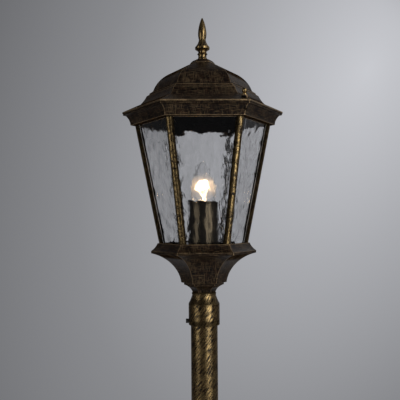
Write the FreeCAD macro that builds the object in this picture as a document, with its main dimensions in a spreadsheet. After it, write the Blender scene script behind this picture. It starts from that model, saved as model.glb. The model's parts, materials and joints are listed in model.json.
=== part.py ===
import FreeCAD, Part
import math
import os
import re

import Sketcher

# A garden lamp: a six-sided cast lantern with clear panes and a candle lamp, on a round post
# with a bolted base.  Millimetres, +Z up, origin at the centre of the base's underside.
# One flat side of the lantern faces -Y, so its corners point along +X and -X.

# Driving dimensions: name, value, what it measures.  A "half" is half of a width across flats.
SIZES = [
    # Post and base
    ("post_dia", 40, "outside diameter of the post tube"),
    ("post_wall", 1.8, "wall of the post tube"),
    ("post_fit", 0.15, "radial clearance of the post in its sockets"),
    ("post_seat", 5, "height of the ledge that the post stands on"),
    ("post_clear", 1, "gap between the post's top and the threaded tube above it"),
    ("base_dia", 170, "diameter of the base flange"),
    ("base_edge", 8, "thickness of the base flange"),
    ("base_round", 2, "rounding of the flange's upper edge"),
    ("hub_dia", 56, "diameter of the hub round the post"),
    ("hub_cove", 14, "radius of the cove from flange to hub"),
    ("hub_height", 48, "height of the hub's top"),
    ("hub_chamfer", 1.5, "chamfer on the hub's top edge"),
    ("bolt_circle", 130, "diameter of the bolt circle"),
    ("bolt_hole", 9, "diameter of the bolt holes"),
    ("bolt_count", 4, "number of bolt holes"),
    ("grub_dia", 6, "diameter of the grub screw in the hub"),
    ("grub_height", 32, "height of the grub screw above ground"),
    ("grub_socket", 3, "hexagon socket of the grub screw, across flats"),
    ("screw_play", 0.1, "radial clearance round screw threads"),
    # Fitter on the post
    ("fitter_level", 540, "height of the fitter's lower edge"),
    ("fitter_height", 49, "height of the fitter"),
    ("socket_depth", 31, "depth of the fitter's socket for the post"),
    ("collar_dia", 46.4, "diameter of the fitter's collar"),
    ("collar_height", 32, "height of the straight collar"),
    ("collar_chamfer", 0.8, "chamfer on the collar's lower edge"),
    ("neck_dia", 35.2, "diameter of the fitter's neck"),
    ("neck_bead", 0.6, "how far the bead at the neck stands out"),
    ("neck_bead_height", 3.8, "height of the bead at the neck"),
    ("flare_round", 60, "radius of the flare between collar and neck"),
    ("clamp_height", 5.9, "height of the clamp screw above the collar's edge"),
    ("clamp_dia", 4, "diameter of the clamp screw"),
    ("clamp_head_dia", 6.6, "diameter of the clamp screw's head"),
    ("clamp_head_length", 4.2, "length of the clamp screw's head"),
    # Bowl under the lantern
    ("bowl_height", 60.4, "height of the bowl"),
    ("bowl_wall", 3.5, "wall of the bowl"),
    ("bowl_floor", 17.5, "height of the bowl's inner floor"),
    ("bowl_foot_half", 15, "half width of the bowl's foot"),
    ("bowl_cove", 51.5, "radius of the bowl's large cove"),
    ("bowl_rim", 2, "height of the bowl's rim band"),
    ("step_half", 29.8, "half width of the step near the bowl's foot"),
    ("step_inset", 3.8, "how far the foot's cove starts inside the step"),
    ("step_level", 13.8, "height of the step's underside"),
    ("step_rise", 1, "fall of the step's underside"),
    ("step_band", 1.5, "height of the step's band"),
    ("foot_band", 2.6, "height of the band under the step"),
    ("foot_cove", 16, "radius of the cove under the step"),
    ("core_half", 2, "half width of the opening that the round bores then widen"),
    # Gallery ring on the bowl
    ("gallery_overhang", 10.4, "how far the gallery rim stands out beyond the bars"),
    ("gallery_height", 13.1, "height of the gallery ring"),
    ("gallery_band", 1.6, "height of the gallery's rim band"),
    ("gallery_cove", 24, "radius of the gallery's cove"),
    ("gallery_ledge", 2, "how far the gallery's top stands out beyond the bars"),
    ("gallery_slot", 3, "depth of the slots for the panes in the gallery"),
    ("gallery_bore", 10.5, "inset of the gallery's bore from the bars"),
    ("plate_seat", 7, "height of the floor plate's seat in the gallery"),
    ("plate_seat_width", 4, "width of the floor plate's seat"),
    ("plate_thick", 2, "thickness of the floor plate"),
    ("plate_play", 0.3, "clearance round the floor plate"),
    # Cage of bars and panes
    ("eave_half", 104.4, "half width of the eave"),
    ("eave_overhang", 16.4, "how far the eave stands out beyond the bars"),
    ("cage_taper", 30, "how much the cage narrows from top to foot, on each side"),
    ("cage_height", 176.5, "height of the bars between the two rings"),
    ("bar_width", 10, "width of a corner bar"),
    ("bar_round", 6.1, "radius of a corner bar's rounded face"),
    ("bar_depth", 11, "depth of a corner bar with its web"),
    ("web_width", 2, "thickness of a corner bar's web between the panes"),
    ("glass_thick", 3, "thickness of a pane"),
    ("glass_inset", 3.8, "depth of the panes behind the bars' corner lines"),
    ("glass_play", 0.3, "clearance round the edges of a pane"),
    ("glass_bed", 0.2, "clearance between a pane and the bars"),
    ("bar_screw_dia", 2.4, "diameter of the screws in the bars' ends"),
    ("bar_screw_bite", 7, "depth of the screws in the bars"),
    ("bar_screw_head", 5.2, "diameter of those screws' heads"),
    ("bar_screw_head_height", 2, "height of those screws' heads"),
    ("bar_screw_foot", 2.6, "inset of the lower screws from the bars' corner lines"),
    ("bar_screw_top", 3.6, "inset of the upper screws from the bars' corner lines"),
    # Cornice ring under the roof
    ("cornice_height", 16.6, "height of the cornice ring"),
    ("cornice_cove", 22, "radius of the cornice's cove"),
    ("cornice_wall", 3.4, "wall of the cornice outside the trough"),
    ("cornice_floor", 8, "height of the trough's floor"),
    ("cornice_slot", 5, "depth of the slots for the panes in the cornice"),
    ("cornice_bore", 10.1, "inset of the cornice's bore from the bars"),
    ("curb_width", 3, "width of the curb round the cornice's bore"),
    ("curb_height", 12, "height of the curb round the cornice's bore"),
    ("lip_out", 6, "how far the cornice's lower lip stands out beyond the bars"),
    ("lip_height", 2, "height of the cornice's lower lip"),
    ("cove_inset", 4.3, "inset of the cove's upper end from the eave"),
    ("bead_inset", 0.9, "inset of the cornice's top bead from the eave"),
    ("bead_height", 2, "height of the cornice's top bead"),
    ("bead_fall", 0.5, "fall of the bead's underside"),
    ("thread_boss_dia", 6.8, "diameter of the cornice's bosses for the roof screws"),
    # Roof
    ("seam_gap", 0.3, "gap between the roof and the cornice"),
    ("roof_height", 81.1, "height of the roof"),
    ("roof_wall", 3.3, "wall of the roof"),
    ("roof_rim", 2.5, "height of the roof's edge"),
    ("rim_step", 0.8, "height of the step inside the roof's edge"),
    ("slope_run", 23.7, "run of the eave's slope"),
    ("slope_rise", 11.7, "rise of the eave's slope"),
    ("roof_cove", 50, "radius of the cove above the eave"),
    ("cove_run", 8, "run of that cove"),
    ("cove_rise", 12.4, "rise of that cove"),
    ("ledge_run", 3.1, "run of each of the two ledges"),
    ("ledge_rise", 1.9, "rise of each of the two ledges"),
    ("ledge_band", 2.4, "height of the band between the ledges"),
    ("ledge_lean", 0.8, "lean of that band"),
    ("dome_inset", 1.4, "inset of the dome behind the upper ledge"),
    ("dome_round", 43, "radius of the dome's curve"),
    ("dome_turn_half", 43, "half width where the dome's curve meets its upper slope"),
    ("dome_fall", 13.8, "fall of the dome's upper slope"),
    ("dome_top_half", 17.8, "half width of the dome's top, under the cap"),
    ("cap_half", 16.2, "half width of the cap on the dome"),
    ("cap_height", 7.4, "height of the cap on the dome"),
    ("cap_edge", 1.3, "height of the cap's upright edge"),
    ("cap_top_half", 7.6, "half width of the cap's top"),
    ("cap_round", 11, "radius of the cap's curve"),
    ("crown_thick", 11.7, "thickness of the roof's crown under the finial"),
    ("crown_half", 16, "half width of the crown's flat underside"),
    # Roof screws with ball heads
    ("knob_inset", 13, "distance of the roof screws from the eave's corners"),
    ("knob_pad_dia", 8.4, "diameter of the pads under the roof screws"),
    ("knob_pad_rise", 0.5, "height of those pads above the slope at their inner side"),
    ("knob_foot_dia", 7.2, "diameter of a roof screw's foot"),
    ("knob_foot_height", 1, "height of that foot"),
    ("knob_neck_dia", 4, "diameter of the neck under the ball"),
    ("knob_neck_height", 2.4, "height where the neck begins"),
    ("knob_ball", 3.7, "radius of the ball"),
    ("knob_dia", 3.2, "diameter of the roof screw's shank"),
    ("knob_bite", 6.5, "depth of the shank in the cornice"),
    ("knob_play", 0.35, "radial clearance round the shank"),
    ("knob_gap", 0.3, "gap between a roof screw and its pad"),
    # Finial
    ("finial_height", 63, "height of the finial"),
    ("finial_foot_dia", 14.2, "diameter of the finial's foot"),
    ("finial_foot_height", 1, "height of the finial's foot"),
    ("finial_waist_dia", 12.4, "diameter of the finial's waists"),
    ("finial_waist_height", 3.2, "height of the lower waist"),
    ("finial_ring_dia", 15.6, "diameter of the finial's ring"),
    ("finial_ring_low", 6.6, "height of the ring's lower edge"),
    ("finial_ring_mid", 8.2, "height of the ring's middle"),
    ("finial_ring_high", 10, "height of the ring's upper edge"),
    ("finial_neck_high", 12.4, "height where the bell begins"),
    ("finial_bell_dia", 21.8, "diameter of the finial's bell"),
    ("finial_bell_low", 15.6, "height of the bell's lower edge"),
    ("finial_bell_high", 18.6, "height of the bell's upper edge"),
    ("finial_bell_cove", 20, "radius of the bell's cove"),
    ("finial_throat_dia", 10.2, "diameter of the throat under the bud"),
    ("finial_throat_height", 30, "height of the throat"),
    ("finial_bud_dia", 12.2, "diameter of the bud"),
    ("finial_bud_height", 42.4, "height of the bud's widest place"),
    ("finial_bud_round", 31, "radius of the bud's lower curve"),
    ("finial_tip_round", 62, "radius of the bud's upper curve"),
    ("finial_tip_dia", 1.6, "diameter of the bud's blunt tip"),
    ("finial_tip_height", 0.6, "height of the blunt tip"),
    ("stud_dia", 6, "diameter of the stud in the finial"),
    ("stud_bite", 12, "depth of the stud in the finial"),
    ("stud_spare", 3, "length of the stud below its nut"),
    ("stud_nut", 10, "width of the stud's nut across flats"),
    ("stud_nut_height", 5, "height of the stud's nut"),
    ("stud_washer_dia", 14, "diameter of the stud's washer"),
    ("stud_washer_thick", 1.2, "thickness of the stud's washer"),
    # Threaded tube through fitter, bowl and floor plate
    ("nipple_dia", 10, "diameter of the threaded tube"),
    ("nipple_bore", 7, "bore of the threaded tube"),
    ("nipple_spare", 1.5, "length of the tube below its lowest nut"),
    ("nut_width", 14, "width of the tube's nuts across flats"),
    ("nut_height", 6, "height of the tube's nuts"),
    ("washer_dia", 18, "diameter of the tube's washers"),
    ("washer_thick", 1.5, "thickness of the tube's washers"),
    # Lampholder and sleeve
    ("sleeve_dia", 44.8, "diameter of the sleeve round the lampholder"),
    ("sleeve_wall", 1, "wall of the sleeve"),
    ("sleeve_height", 66.4, "height of the sleeve"),
    ("sleeve_floor", 1.2, "thickness of the sleeve's floor"),
    ("sleeve_lip", 1.2, "how far the sleeve's lip flares out"),
    ("sleeve_lip_height", 5.5, "height of the flared lip"),
    ("holder_dia", 35, "diameter of the lampholder"),
    ("holder_height", 43, "height of the lampholder"),
    ("holder_chamfer", 1, "chamfer on the lampholder's mouth"),
    ("holder_bore", 29.2, "bore of the lampholder"),
    ("holder_base", 12, "thickness of the lampholder's base"),
    ("holder_tap", 6, "depth of the lampholder's thread for the tube"),
    ("shell_wall", 1.1, "wall of the screw shell"),
    ("shell_height", 22, "height of the screw shell"),
    ("shell_inset", 1, "inset of the screw shell from the lampholder's mouth"),
    ("contact_dia", 6.4, "diameter of the centre contact's button"),
    ("contact_foot_dia", 14, "diameter of the centre contact's foot"),
    ("contact_wall", 0.8, "thickness of the centre contact"),
    # Candle lamp
    ("lamp_gap", 0.3, "gap between the lamp and the centre contact"),
    ("lamp_level", 26, "height of the lamp's tip contact above the floor plate"),
    ("lamp_height", 100, "height of the candle lamp"),
    ("lamp_tip_dia", 9.6, "diameter of the lamp's tip contact"),
    ("lamp_tip_height", 1.1, "height of the tip contact"),
    ("lamp_insulator_dia", 19, "diameter of the lamp's insulator"),
    ("lamp_insulator_top", 5, "height of the insulator's top"),
    ("lamp_cap_dia", 25.8, "diameter of the lamp's screw cap"),
    ("lamp_cap_low", 6.5, "height where the screw cap becomes straight"),
    ("lamp_cap_high", 25.5, "height of the screw cap's upper edge"),
    ("lamp_cap_wall", 0.5, "wall of the screw cap"),
    ("lamp_neck_dia", 24.4, "diameter of the glass's neck"),
    ("lamp_neck_low", 21.5, "height of the glass's lower edge"),
    ("lamp_neck_high", 27, "height where the glass widens"),
    ("lamp_dia", 35, "diameter of the glass"),
    ("lamp_belly", 48, "height of the glass's widest place"),
    ("lamp_belly_round", 48, "radius of the curve below the widest place"),
    ("lamp_flame_round", 78, "radius of the curve above the widest place"),
    ("lamp_nose_dia", 3.6, "diameter of the glass's nose"),
    ("lamp_nose_round", 2.2, "radius of the glass's nose"),
    ("lamp_glass", 0.9, "wall of the lamp's glass"),
    ("stem_foot_dia", 21, "diameter of the stem's flared foot"),
    ("stem_dia", 5, "diameter of the stem"),
    ("stem_low", 23, "height of the stem's foot"),
    ("stem_waist", 33, "height where the stem's flare ends"),
    ("stem_high", 52, "height of the stem's top"),
    ("filament_height", 61.6, "height of the filament"),
    ("filament_radius", 6.5, "radius of the filament's loop"),
    ("filament_wire", 0.35, "radius of the filament and its wires"),
    # Wiring on the floor plate
    ("block_length", 24, "length of the terminal block"),
    ("block_width", 16, "width of the terminal block"),
    ("block_height", 13, "height of the terminal block"),
    ("block_hole", 3.6, "diameter of the terminal block's wire holes"),
    ("block_ways", 3, "number of wires in the terminal block"),
    ("block_margin", 2, "clearance between the terminal block and the gallery ring"),
    ("plate_screw_inset", 7, "distance of the plate's screws from the terminal block's outer end"),
    ("plate_screw_dia", 3, "diameter of the plate's screws"),
    ("plate_screw_length", 8, "length of the plate's screws under the plate"),
    ("plate_screw_head", 5.4, "diameter of the plate screws' heads"),
    ("plate_screw_head_height", 2, "height of the plate screws' heads"),
    ("earth_nut", 5.5, "width of the earth screw's nut across flats"),
    ("earth_nut_height", 2.4, "height of the earth screw's nut"),
]

SIDES = 6
SIDE_ANGLE = 360 / SIDES
BOLT_ANGLE = 45
FRONT_KNOB_ANGLE = -60
BACK_KNOB_ANGLE = 120

# Half widths of the lantern, each worked out from the eave.
TOP = "(eave_half - eave_overhang)"
FOOT = "(eave_half - eave_overhang - cage_taper)"
RIM = "(eave_half - eave_overhang - cage_taper + gallery_overhang)"
# Distances of the bars' corner lines from the axis.
TOP_CORNER = f"({TOP} / cos(30))"
FOOT_CORNER = f"({FOOT} / cos(30))"
# Distance of the roof screws from the axis, and height of their pads above the roof's edge.
KNOB_RADIUS = "(eave_half / cos(30) - knob_inset)"
KNOB_PAD = "(roof_rim + slope_rise * (knob_inset + knob_pad_dia / 2) * cos(30) / slope_run + knob_pad_rise)"
# Outer end of the terminal block, inside the gallery ring's corner, and the plate's screws.
GALLERY_CORNER = f"(({FOOT} - gallery_bore - plate_seat_width) / cos(30))"
BLOCK_END = f"({GALLERY_CORNER} - block_width / 2 * tan(30) - block_margin)"
PLATE_SCREW = f"({BLOCK_END} - plate_screw_inset)"

# Levels of the stacked pieces, from the fitter up to the finial.
WEB = "(fitter_level + socket_depth)"
TUBE_FOOT = f"({WEB} - washer_thick - nut_height - nipple_spare)"
BOWL = "(fitter_level + fitter_height)"
GALLERY = f"({BOWL} + bowl_height)"
PLATE = f"({GALLERY} + plate_seat)"
PLATE_TOP = f"({PLATE} + plate_thick)"
HOLDER = f"({PLATE_TOP} + sleeve_floor + nut_height)"
LAMP = f"({PLATE_TOP} + lamp_level)"
CAGE = f"({GALLERY} + gallery_height)"
CORNICE = f"({CAGE} + cage_height)"
ROOF = f"({CORNICE} + cornice_height + seam_gap)"
CROWN = f"({ROOF} + roof_height - crown_thick)"
FINIAL = f"({ROOF} + roof_height)"

doc = FreeCAD.newDocument("garden_lamp")
sheet = doc.addObject("Spreadsheet::Sheet", "Sizes")
for row, (name, number, meaning) in enumerate(SIZES, start=1):
    sheet.set(f"A{row}", meaning)
    sheet.set(f"B{row}", str(number))
    sheet.setAlias(f"B{row}", name)
doc.recompute()

SIZE_NAME = re.compile(r"\b(" + "|".join(name for name, _, _ in SIZES) + r")\b")
UP = FreeCAD.Vector(0, 0, 1)
nodes = {}


def bound(text):
    """The expression with every size read from the sheet."""
    return SIZE_NAME.sub(r"Sizes.\1", str(text))


def value(text):
    """The number that an expression has now."""
    number = sheet.evalExpression(bound(text))
    return float(getattr(number, "Value", number))


def new_body(label, level="0", turn=0):
    """An empty body at a level of the lamp, turned about the lamp's axis."""
    body = doc.addObject("PartDesign::Body", label)
    body.Label = label
    body.Placement = FreeCAD.Placement(FreeCAD.Vector(), FreeCAD.Rotation(UP, turn))
    body.setExpression("Placement.Base.z", bound(level))
    nodes[label] = body
    return body


def sketch_on(body, role, name, lift="0"):
    """A sketch on one of the body's own planes, or parallel to it."""
    sketch = body.newObject("Sketcher::SketchObject", f"{body.Label}_{name}")
    plane = next(item for item in body.Origin.OriginFeatures if item.Role == role)
    sketch.AttachmentSupport = [(plane, "")]
    sketch.MapMode = "FlatFace"
    sketch.setExpression("AttachmentOffset.Base.z", bound(lift))
    return sketch


def hold(sketch, text, kind, *where):
    """A constraint whose number follows the sheet."""
    index = sketch.addConstraint(Sketcher.Constraint(kind, *where, value(text)))
    sketch.setExpression(f"Constraints[{index}]", bound(text))


def arc_between(start, finish, radius, centre_on_left):
    """The shorter arc from start to finish with its centre on the given side of the way."""
    chord = finish - start
    middle = (start + finish) * 0.5
    left = FreeCAD.Vector(-chord.y, chord.x, 0).normalize()
    reach = math.sqrt(radius ** 2 - (chord.Length / 2) ** 2)
    centre = middle + left * (reach if centre_on_left else -reach)
    first, last = (start, finish) if centre_on_left else (finish, start)
    first_angle = math.atan2(first.y - centre.y, first.x - centre.x)
    last_angle = math.atan2(last.y - centre.y, last.x - centre.x)
    return Part.ArcOfCircle(Part.Circle(centre, UP, radius), first_angle, last_angle)


def draw(sketch, corners, arcs=None):
    """A closed outline.  arcs gives the edges that are round: the number of the corner that the
    edge starts from, the side that its centre is on, and its radius."""
    arcs = arcs or {}
    points = [FreeCAD.Vector(value(x), value(y), 0) for x, y in corners]
    edges = []
    for index, start in enumerate(points):
        finish = points[(index + 1) % len(points)]
        if index in arcs:
            side, radius = arcs[index]
            geometry = arc_between(start, finish, value(radius), side == "left")
            ends = (1, 2) if side == "left" else (2, 1)
        else:
            geometry = Part.LineSegment(start, finish)
            ends = (1, 2)
        edges.append((sketch.addGeometry(geometry), *ends))
    for index, (edge, _, last) in enumerate(edges):
        following, first, _ = edges[(index + 1) % len(edges)]
        sketch.addConstraint(Sketcher.Constraint("Coincident", edge, last, following, first))
    for (edge, first, _), (x, y) in zip(edges, corners):
        hold(sketch, x, "DistanceX", -1, 1, edge, first)
        hold(sketch, y, "DistanceY", -1, 1, edge, first)
    for index, (_, radius) in arcs.items():
        hold(sketch, radius, "Radius", edges[index][0])


def draw_circle(sketch, x, y, radius):
    """A circle whose centre and radius follow the sheet."""
    centre = FreeCAD.Vector(value(x), value(y), 0)
    edge = sketch.addGeometry(Part.Circle(centre, UP, value(radius)))
    hold(sketch, x, "DistanceX", -1, 1, edge, 3)
    hold(sketch, y, "DistanceY", -1, 1, edge, 3)
    hold(sketch, radius, "Radius", edge)


def hexagon(half):
    """Corners of the lantern's plan, from the middle of its +Y side round to the start."""
    front = f"({half})"
    side = f"{front} * tan(30)"
    return [
        ("0", front), (f"-{side}", front), (f"-2 * {side}", "0"), (f"-{side}", f"-{front}"),
        (side, f"-{front}"), (f"2 * {side}", "0"), (side, front),
    ]


def on_circle(radius, angle):
    """Centre of a hole or boss at a distance and angle from the axis."""
    return f"{radius} * cos({angle})", f"{radius} * sin({angle})"


def revolve(body, corners, arcs=None):
    """A turned form about the body's Z axis, from its section at the axis's +X side."""
    sketch = sketch_on(body, "XZ_Plane", "section")
    draw(sketch, corners, arcs)
    feature = body.newObject("PartDesign::Revolution", f"{body.Label}_turned")
    feature.Profile = sketch
    feature.ReferenceAxis = (sketch, ["V_Axis"])
    body.Tip = feature
    return body


def carry_round(body, corners, arcs=None):
    """A six-sided casting: a section carried round the hexagon with mitred corners."""
    path = sketch_on(body, "XY_Plane", "path")
    draw(path, hexagon(corners[0][0]))
    section = sketch_on(body, "YZ_Plane", "section")
    draw(section, corners, arcs)
    feature = body.newObject("PartDesign::AdditivePipe", f"{body.Label}_carried")
    feature.Profile = section
    feature.Spine = path
    feature.Transition = "Right corner"
    body.Tip = feature
    return body


def raise_from(body, sketch, height):
    """A pad upwards from a sketch."""
    feature = body.newObject("PartDesign::Pad", f"{sketch.Label}_raised")
    feature.Profile = sketch
    feature.setExpression("Length", bound(height))
    body.Tip = feature
    return feature


def cut_into(body, sketch, depth=None, with_normal=False):
    """A pocket against the sketch's normal, or with it; right through without a depth."""
    feature = body.newObject("PartDesign::Pocket", f"{sketch.Label}_cut")
    feature.Profile = sketch
    feature.Reversed = with_normal
    if depth is None:
        feature.Type = "ThroughAll"
    else:
        feature.setExpression("Length", bound(depth))
    body.Tip = feature
    return feature


def repeat_round(body, sketch, features, count):
    """Copies of features round the body's Z axis."""
    feature = body.newObject("PartDesign::PolarPattern", f"{sketch.Label}_repeated")
    feature.Originals = features
    feature.Axis = (sketch, ["N_Axis"])
    feature.Angle = 360
    feature.setExpression("Occurrences", bound(count))
    body.Tip = feature
    return feature


def bore(body, radius, name):
    """A round hole up the middle of a body."""
    sketch = sketch_on(body, "XY_Plane", name)
    draw_circle(sketch, "0", "0", radius)
    cut_into(body, sketch, with_normal=True)


def part_object(kind, name, level="0", **sizes):
    """A Part primitive whose sizes and level follow the sheet."""
    item = doc.addObject(kind, name)
    for prop, text in sizes.items():
        item.setExpression(prop, bound(text))
    item.setExpression("Placement.Base.z", bound(level))
    return item


def cut_part(label, base, tool):
    """The difference of two Part objects."""
    item = doc.addObject("Part::Cut", label)
    item.Label = label
    item.Base = base
    item.Tool = tool
    return item


def nut(name, width, hole, height, level):
    """A hexagon nut with a plain hole."""
    body = part_object("Part::Prism", f"{name}_hexagon", level,
                       Circumradius=f"{width} / 2 / cos(30)", Height=height)
    body.Polygon = SIDES
    hole = part_object("Part::Cylinder", f"{name}_hole", level, Radius=hole, Height=height)
    return cut_part(name, body, hole)


def group(label, items):
    """Several like pieces in one node."""
    item = doc.addObject("Part::Compound", label)
    item.Label = label
    item.Links = items
    nodes[label] = item


def pin_section(shank, low, head, high, top):
    """Section of a screw: its shank from low to high, then its head up to top."""
    return [("0", low), (shank, low), (shank, high), (head, high), (head, top), ("0", top)]


def base_and_post():
    socket = "post_dia / 2 + post_fit"
    inside = "post_dia / 2 - post_wall"
    base = revolve(new_body("base_flange"), [
        (inside, "0"),
        ("base_dia / 2", "0"),
        ("base_dia / 2", "base_edge - base_round"),
        ("base_dia / 2 - base_round", "base_edge"),
        ("hub_dia / 2 + hub_cove", "base_edge"),
        ("hub_dia / 2", "base_edge + hub_cove"),
        ("hub_dia / 2", "hub_height - hub_chamfer"),
        ("hub_dia / 2 - hub_chamfer", "hub_height"),
        (socket, "hub_height"),
        (socket, "post_seat"),
        (inside, "post_seat"),
    ], {2: ("left", "base_round"), 4: ("right", "hub_cove")})
    bolts = sketch_on(base, "XY_Plane", "bolts")
    draw_circle(bolts, *on_circle("bolt_circle / 2", BOLT_ANGLE), "bolt_hole / 2")
    hole = cut_into(base, bolts, "base_edge", with_normal=True)
    repeat_round(base, bolts, [hole], "bolt_count")
    tapped = sketch_on(base, "XZ_Plane", "tapped")
    draw_circle(tapped, "0", "grub_height", "grub_dia / 2 + screw_play")
    cut_into(base, tapped, "hub_dia / 2")

    # The grub screw stands in the hub's back, its inner end against the post.
    grub = new_body("base_grub_screw", "grub_height")
    grub.Placement.Rotation = FreeCAD.Rotation(FreeCAD.Vector(1, 0, 0), -90)
    inner = "post_dia / 2 + screw_play"
    outer = "hub_dia / 2 - hub_chamfer"
    revolve(grub, [("0", inner), ("grub_dia / 2", inner), ("grub_dia / 2", outer), ("0", outer)])
    socket_sketch = sketch_on(grub, "XY_Plane", "socket", outer)
    draw(socket_sketch, hexagon("grub_socket / 2"))
    cut_into(grub, socket_sketch, "grub_socket")

    post_top = f"({TUBE_FOOT} - post_clear)"
    revolve(new_body("post"), [
        (inside, "post_seat"), ("post_dia / 2", "post_seat"), ("post_dia / 2", post_top), (inside, post_top),
    ])


def post_fitter():
    socket = "post_dia / 2 + post_fit"
    hole = "nipple_dia / 2 + screw_play"
    bead_low = "fitter_height - neck_bead_height"
    fitter = revolve(new_body("post_fitter", "fitter_level"), [
        (socket, "0"),
        ("collar_dia / 2 - collar_chamfer", "0"),
        ("collar_dia / 2", "collar_chamfer"),
        ("collar_dia / 2", "collar_height"),
        ("neck_dia / 2", bead_low),
        ("neck_dia / 2 + neck_bead", f"{bead_low} + neck_bead"),
        ("neck_dia / 2 + neck_bead", "fitter_height - neck_bead"),
        ("neck_dia / 2 - neck_bead", "fitter_height"),
        (hole, "fitter_height"),
        (hole, "socket_depth"),
        (socket, "socket_depth"),
    ], {3: ("right", "flare_round")})
    tapped = sketch_on(fitter, "YZ_Plane", "tapped")
    draw_circle(tapped, "0", "clamp_height", "clamp_dia / 2 + screw_play")
    cut_into(fitter, tapped, "collar_dia / 2")

    # The clamp screw points at the post from the -X side.
    clamp = new_body("clamp_screw", "fitter_level + clamp_height")
    clamp.Placement.Rotation = FreeCAD.Rotation(FreeCAD.Vector(0, 1, 0), -90)
    under_head = "collar_dia / 2 + screw_play"
    revolve(clamp, pin_section("clamp_dia / 2", "post_dia / 2 + screw_play", "clamp_head_dia / 2",
                               under_head, f"{under_head} + clamp_head_length"))


def bowl():
    inner_cove = "bowl_cove + bowl_wall"
    body = carry_round(new_body("bowl", BOWL), [
        ("core_half", "0"),
        ("bowl_foot_half", "0"),
        ("step_half - step_inset", "step_level - foot_band"),
        ("step_half - step_inset", "step_level"),
        ("step_half", "step_level + step_rise"),
        ("step_half", "step_level + step_rise + step_band"),
        (RIM, "bowl_height - bowl_rim"),
        (RIM, "bowl_height"),
        (f"{RIM} - bowl_wall * 1.5", "bowl_height"),
        ("step_half - bowl_wall", "bowl_floor"),
        ("core_half", "bowl_floor"),
    ], {1: ("right", "foot_cove"), 5: ("right", "bowl_cove"), 8: ("left", inner_cove)})
    bore(body, "nipple_dia / 2 + screw_play", "bore")


def gallery_ring():
    body = carry_round(new_body("gallery_ring", GALLERY), [
        (f"{FOOT} - gallery_bore - plate_seat_width", "0"),
        (RIM, "0"),
        (RIM, "gallery_band"),
        (f"{FOOT} + gallery_ledge", "gallery_height"),
        (f"{FOOT} - gallery_bore", "gallery_height"),
        (f"{FOOT} - gallery_bore", "plate_seat"),
        (f"{FOOT} - gallery_bore - plate_seat_width", "plate_seat"),
    ], {2: ("right", "gallery_cove")})
    slot_sketch = sketch_on(body, "XY_Plane", "slots", "gallery_height")
    draw(slot_sketch, pane_slot(FOOT, "-gallery_slot", "0"))
    slots = cut_into(body, slot_sketch, "gallery_slot")
    hole_sketch = sketch_on(body, "XY_Plane", "screws")
    draw_circle(hole_sketch, f"{FOOT_CORNER} - bar_screw_foot", "0", "bar_screw_dia / 2 + screw_play")
    holes = cut_into(body, hole_sketch, with_normal=True)
    sink_sketch = sketch_on(body, "XY_Plane", "sinks")
    draw_circle(sink_sketch, f"{FOOT_CORNER} - bar_screw_foot", "0", "bar_screw_head / 2 + screw_play")
    sinks = cut_into(body, sink_sketch, "bar_screw_head_height", with_normal=True)
    repeat_round(body, slot_sketch, [slots, holes, sinks], SIDES)


def pane_edge():
    """Distance of a pane's side edge from the corner of the cage, along the pane."""
    return "((glass_inset + glass_thick) * tan(30) + (web_width / 2 + glass_play) / cos(30))"


def tilt():
    """Lean of the panes."""
    return "atan(cage_taper / cage_height)"


def pane_slot(half, low, high):
    """Corners of the slot that takes a pane's edge between two heights from the cage's end."""
    lean = "cage_taper / cage_height"
    outer = f"{half} + {high} * {lean} - glass_inset / cos({tilt()}) + glass_play"
    inner = f"{half} + {low} * {lean} - (glass_inset + glass_thick) / cos({tilt()}) - glass_play"
    side = f"({half} + {high} * {lean}) * tan(30) - {pane_edge()} + glass_play"
    return [(f"-({side})", inner), (side, inner), (side, outer), (f"-({side})", outer)]


def corner_bars():
    shoulder = "(bar_round - sqrt(bar_round ^ 2 - bar_width ^ 2 / 4))"
    wing_back = "(glass_inset - glass_bed + bar_width / 4) / cos(30)"
    web_root = "(glass_inset - glass_bed + web_width / 4) / cos(30)"
    for number in range(SIDES):
        bar = new_body(f"corner_bar_{number + 1}", CAGE, number * SIDE_ANGLE)
        section = sketch_on(bar, "XY_Plane", "section")
        draw(section, [
            (f"{FOOT_CORNER} - {shoulder}", "-bar_width / 2"),
            (f"{FOOT_CORNER} - {shoulder}", "bar_width / 2"),
            (f"{FOOT_CORNER} - {wing_back}", "bar_width / 2"),
            (f"{FOOT_CORNER} - {web_root}", "web_width / 2"),
            (f"{FOOT_CORNER} - bar_depth", "web_width / 2"),
            (f"{FOOT_CORNER} - bar_depth", "-web_width / 2"),
            (f"{FOOT_CORNER} - {web_root}", "-web_width / 2"),
            (f"{FOOT_CORNER} - {wing_back}", "-bar_width / 2"),
        ], {0: ("left", "bar_round")})
        length = raise_from(bar, section, "cage_height")
        length.UseCustomVector = True
        length.Direction = UP
        length.setExpression("Direction.x", bound("cage_taper / cos(30)"))
        length.setExpression("Direction.z", bound("cage_height"))
        foot_hole = sketch_on(bar, "XY_Plane", "foot_hole")
        draw_circle(foot_hole, f"{FOOT_CORNER} - bar_screw_foot", "0", "bar_screw_dia / 2")
        cut_into(bar, foot_hole, "bar_screw_bite", with_normal=True)
        top_hole = sketch_on(bar, "XY_Plane", "top_hole", "cage_height")
        draw_circle(top_hole, f"{TOP_CORNER} - bar_screw_top", "0", "bar_screw_dia / 2")
        cut_into(bar, top_hole, "bar_screw_bite")


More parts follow.
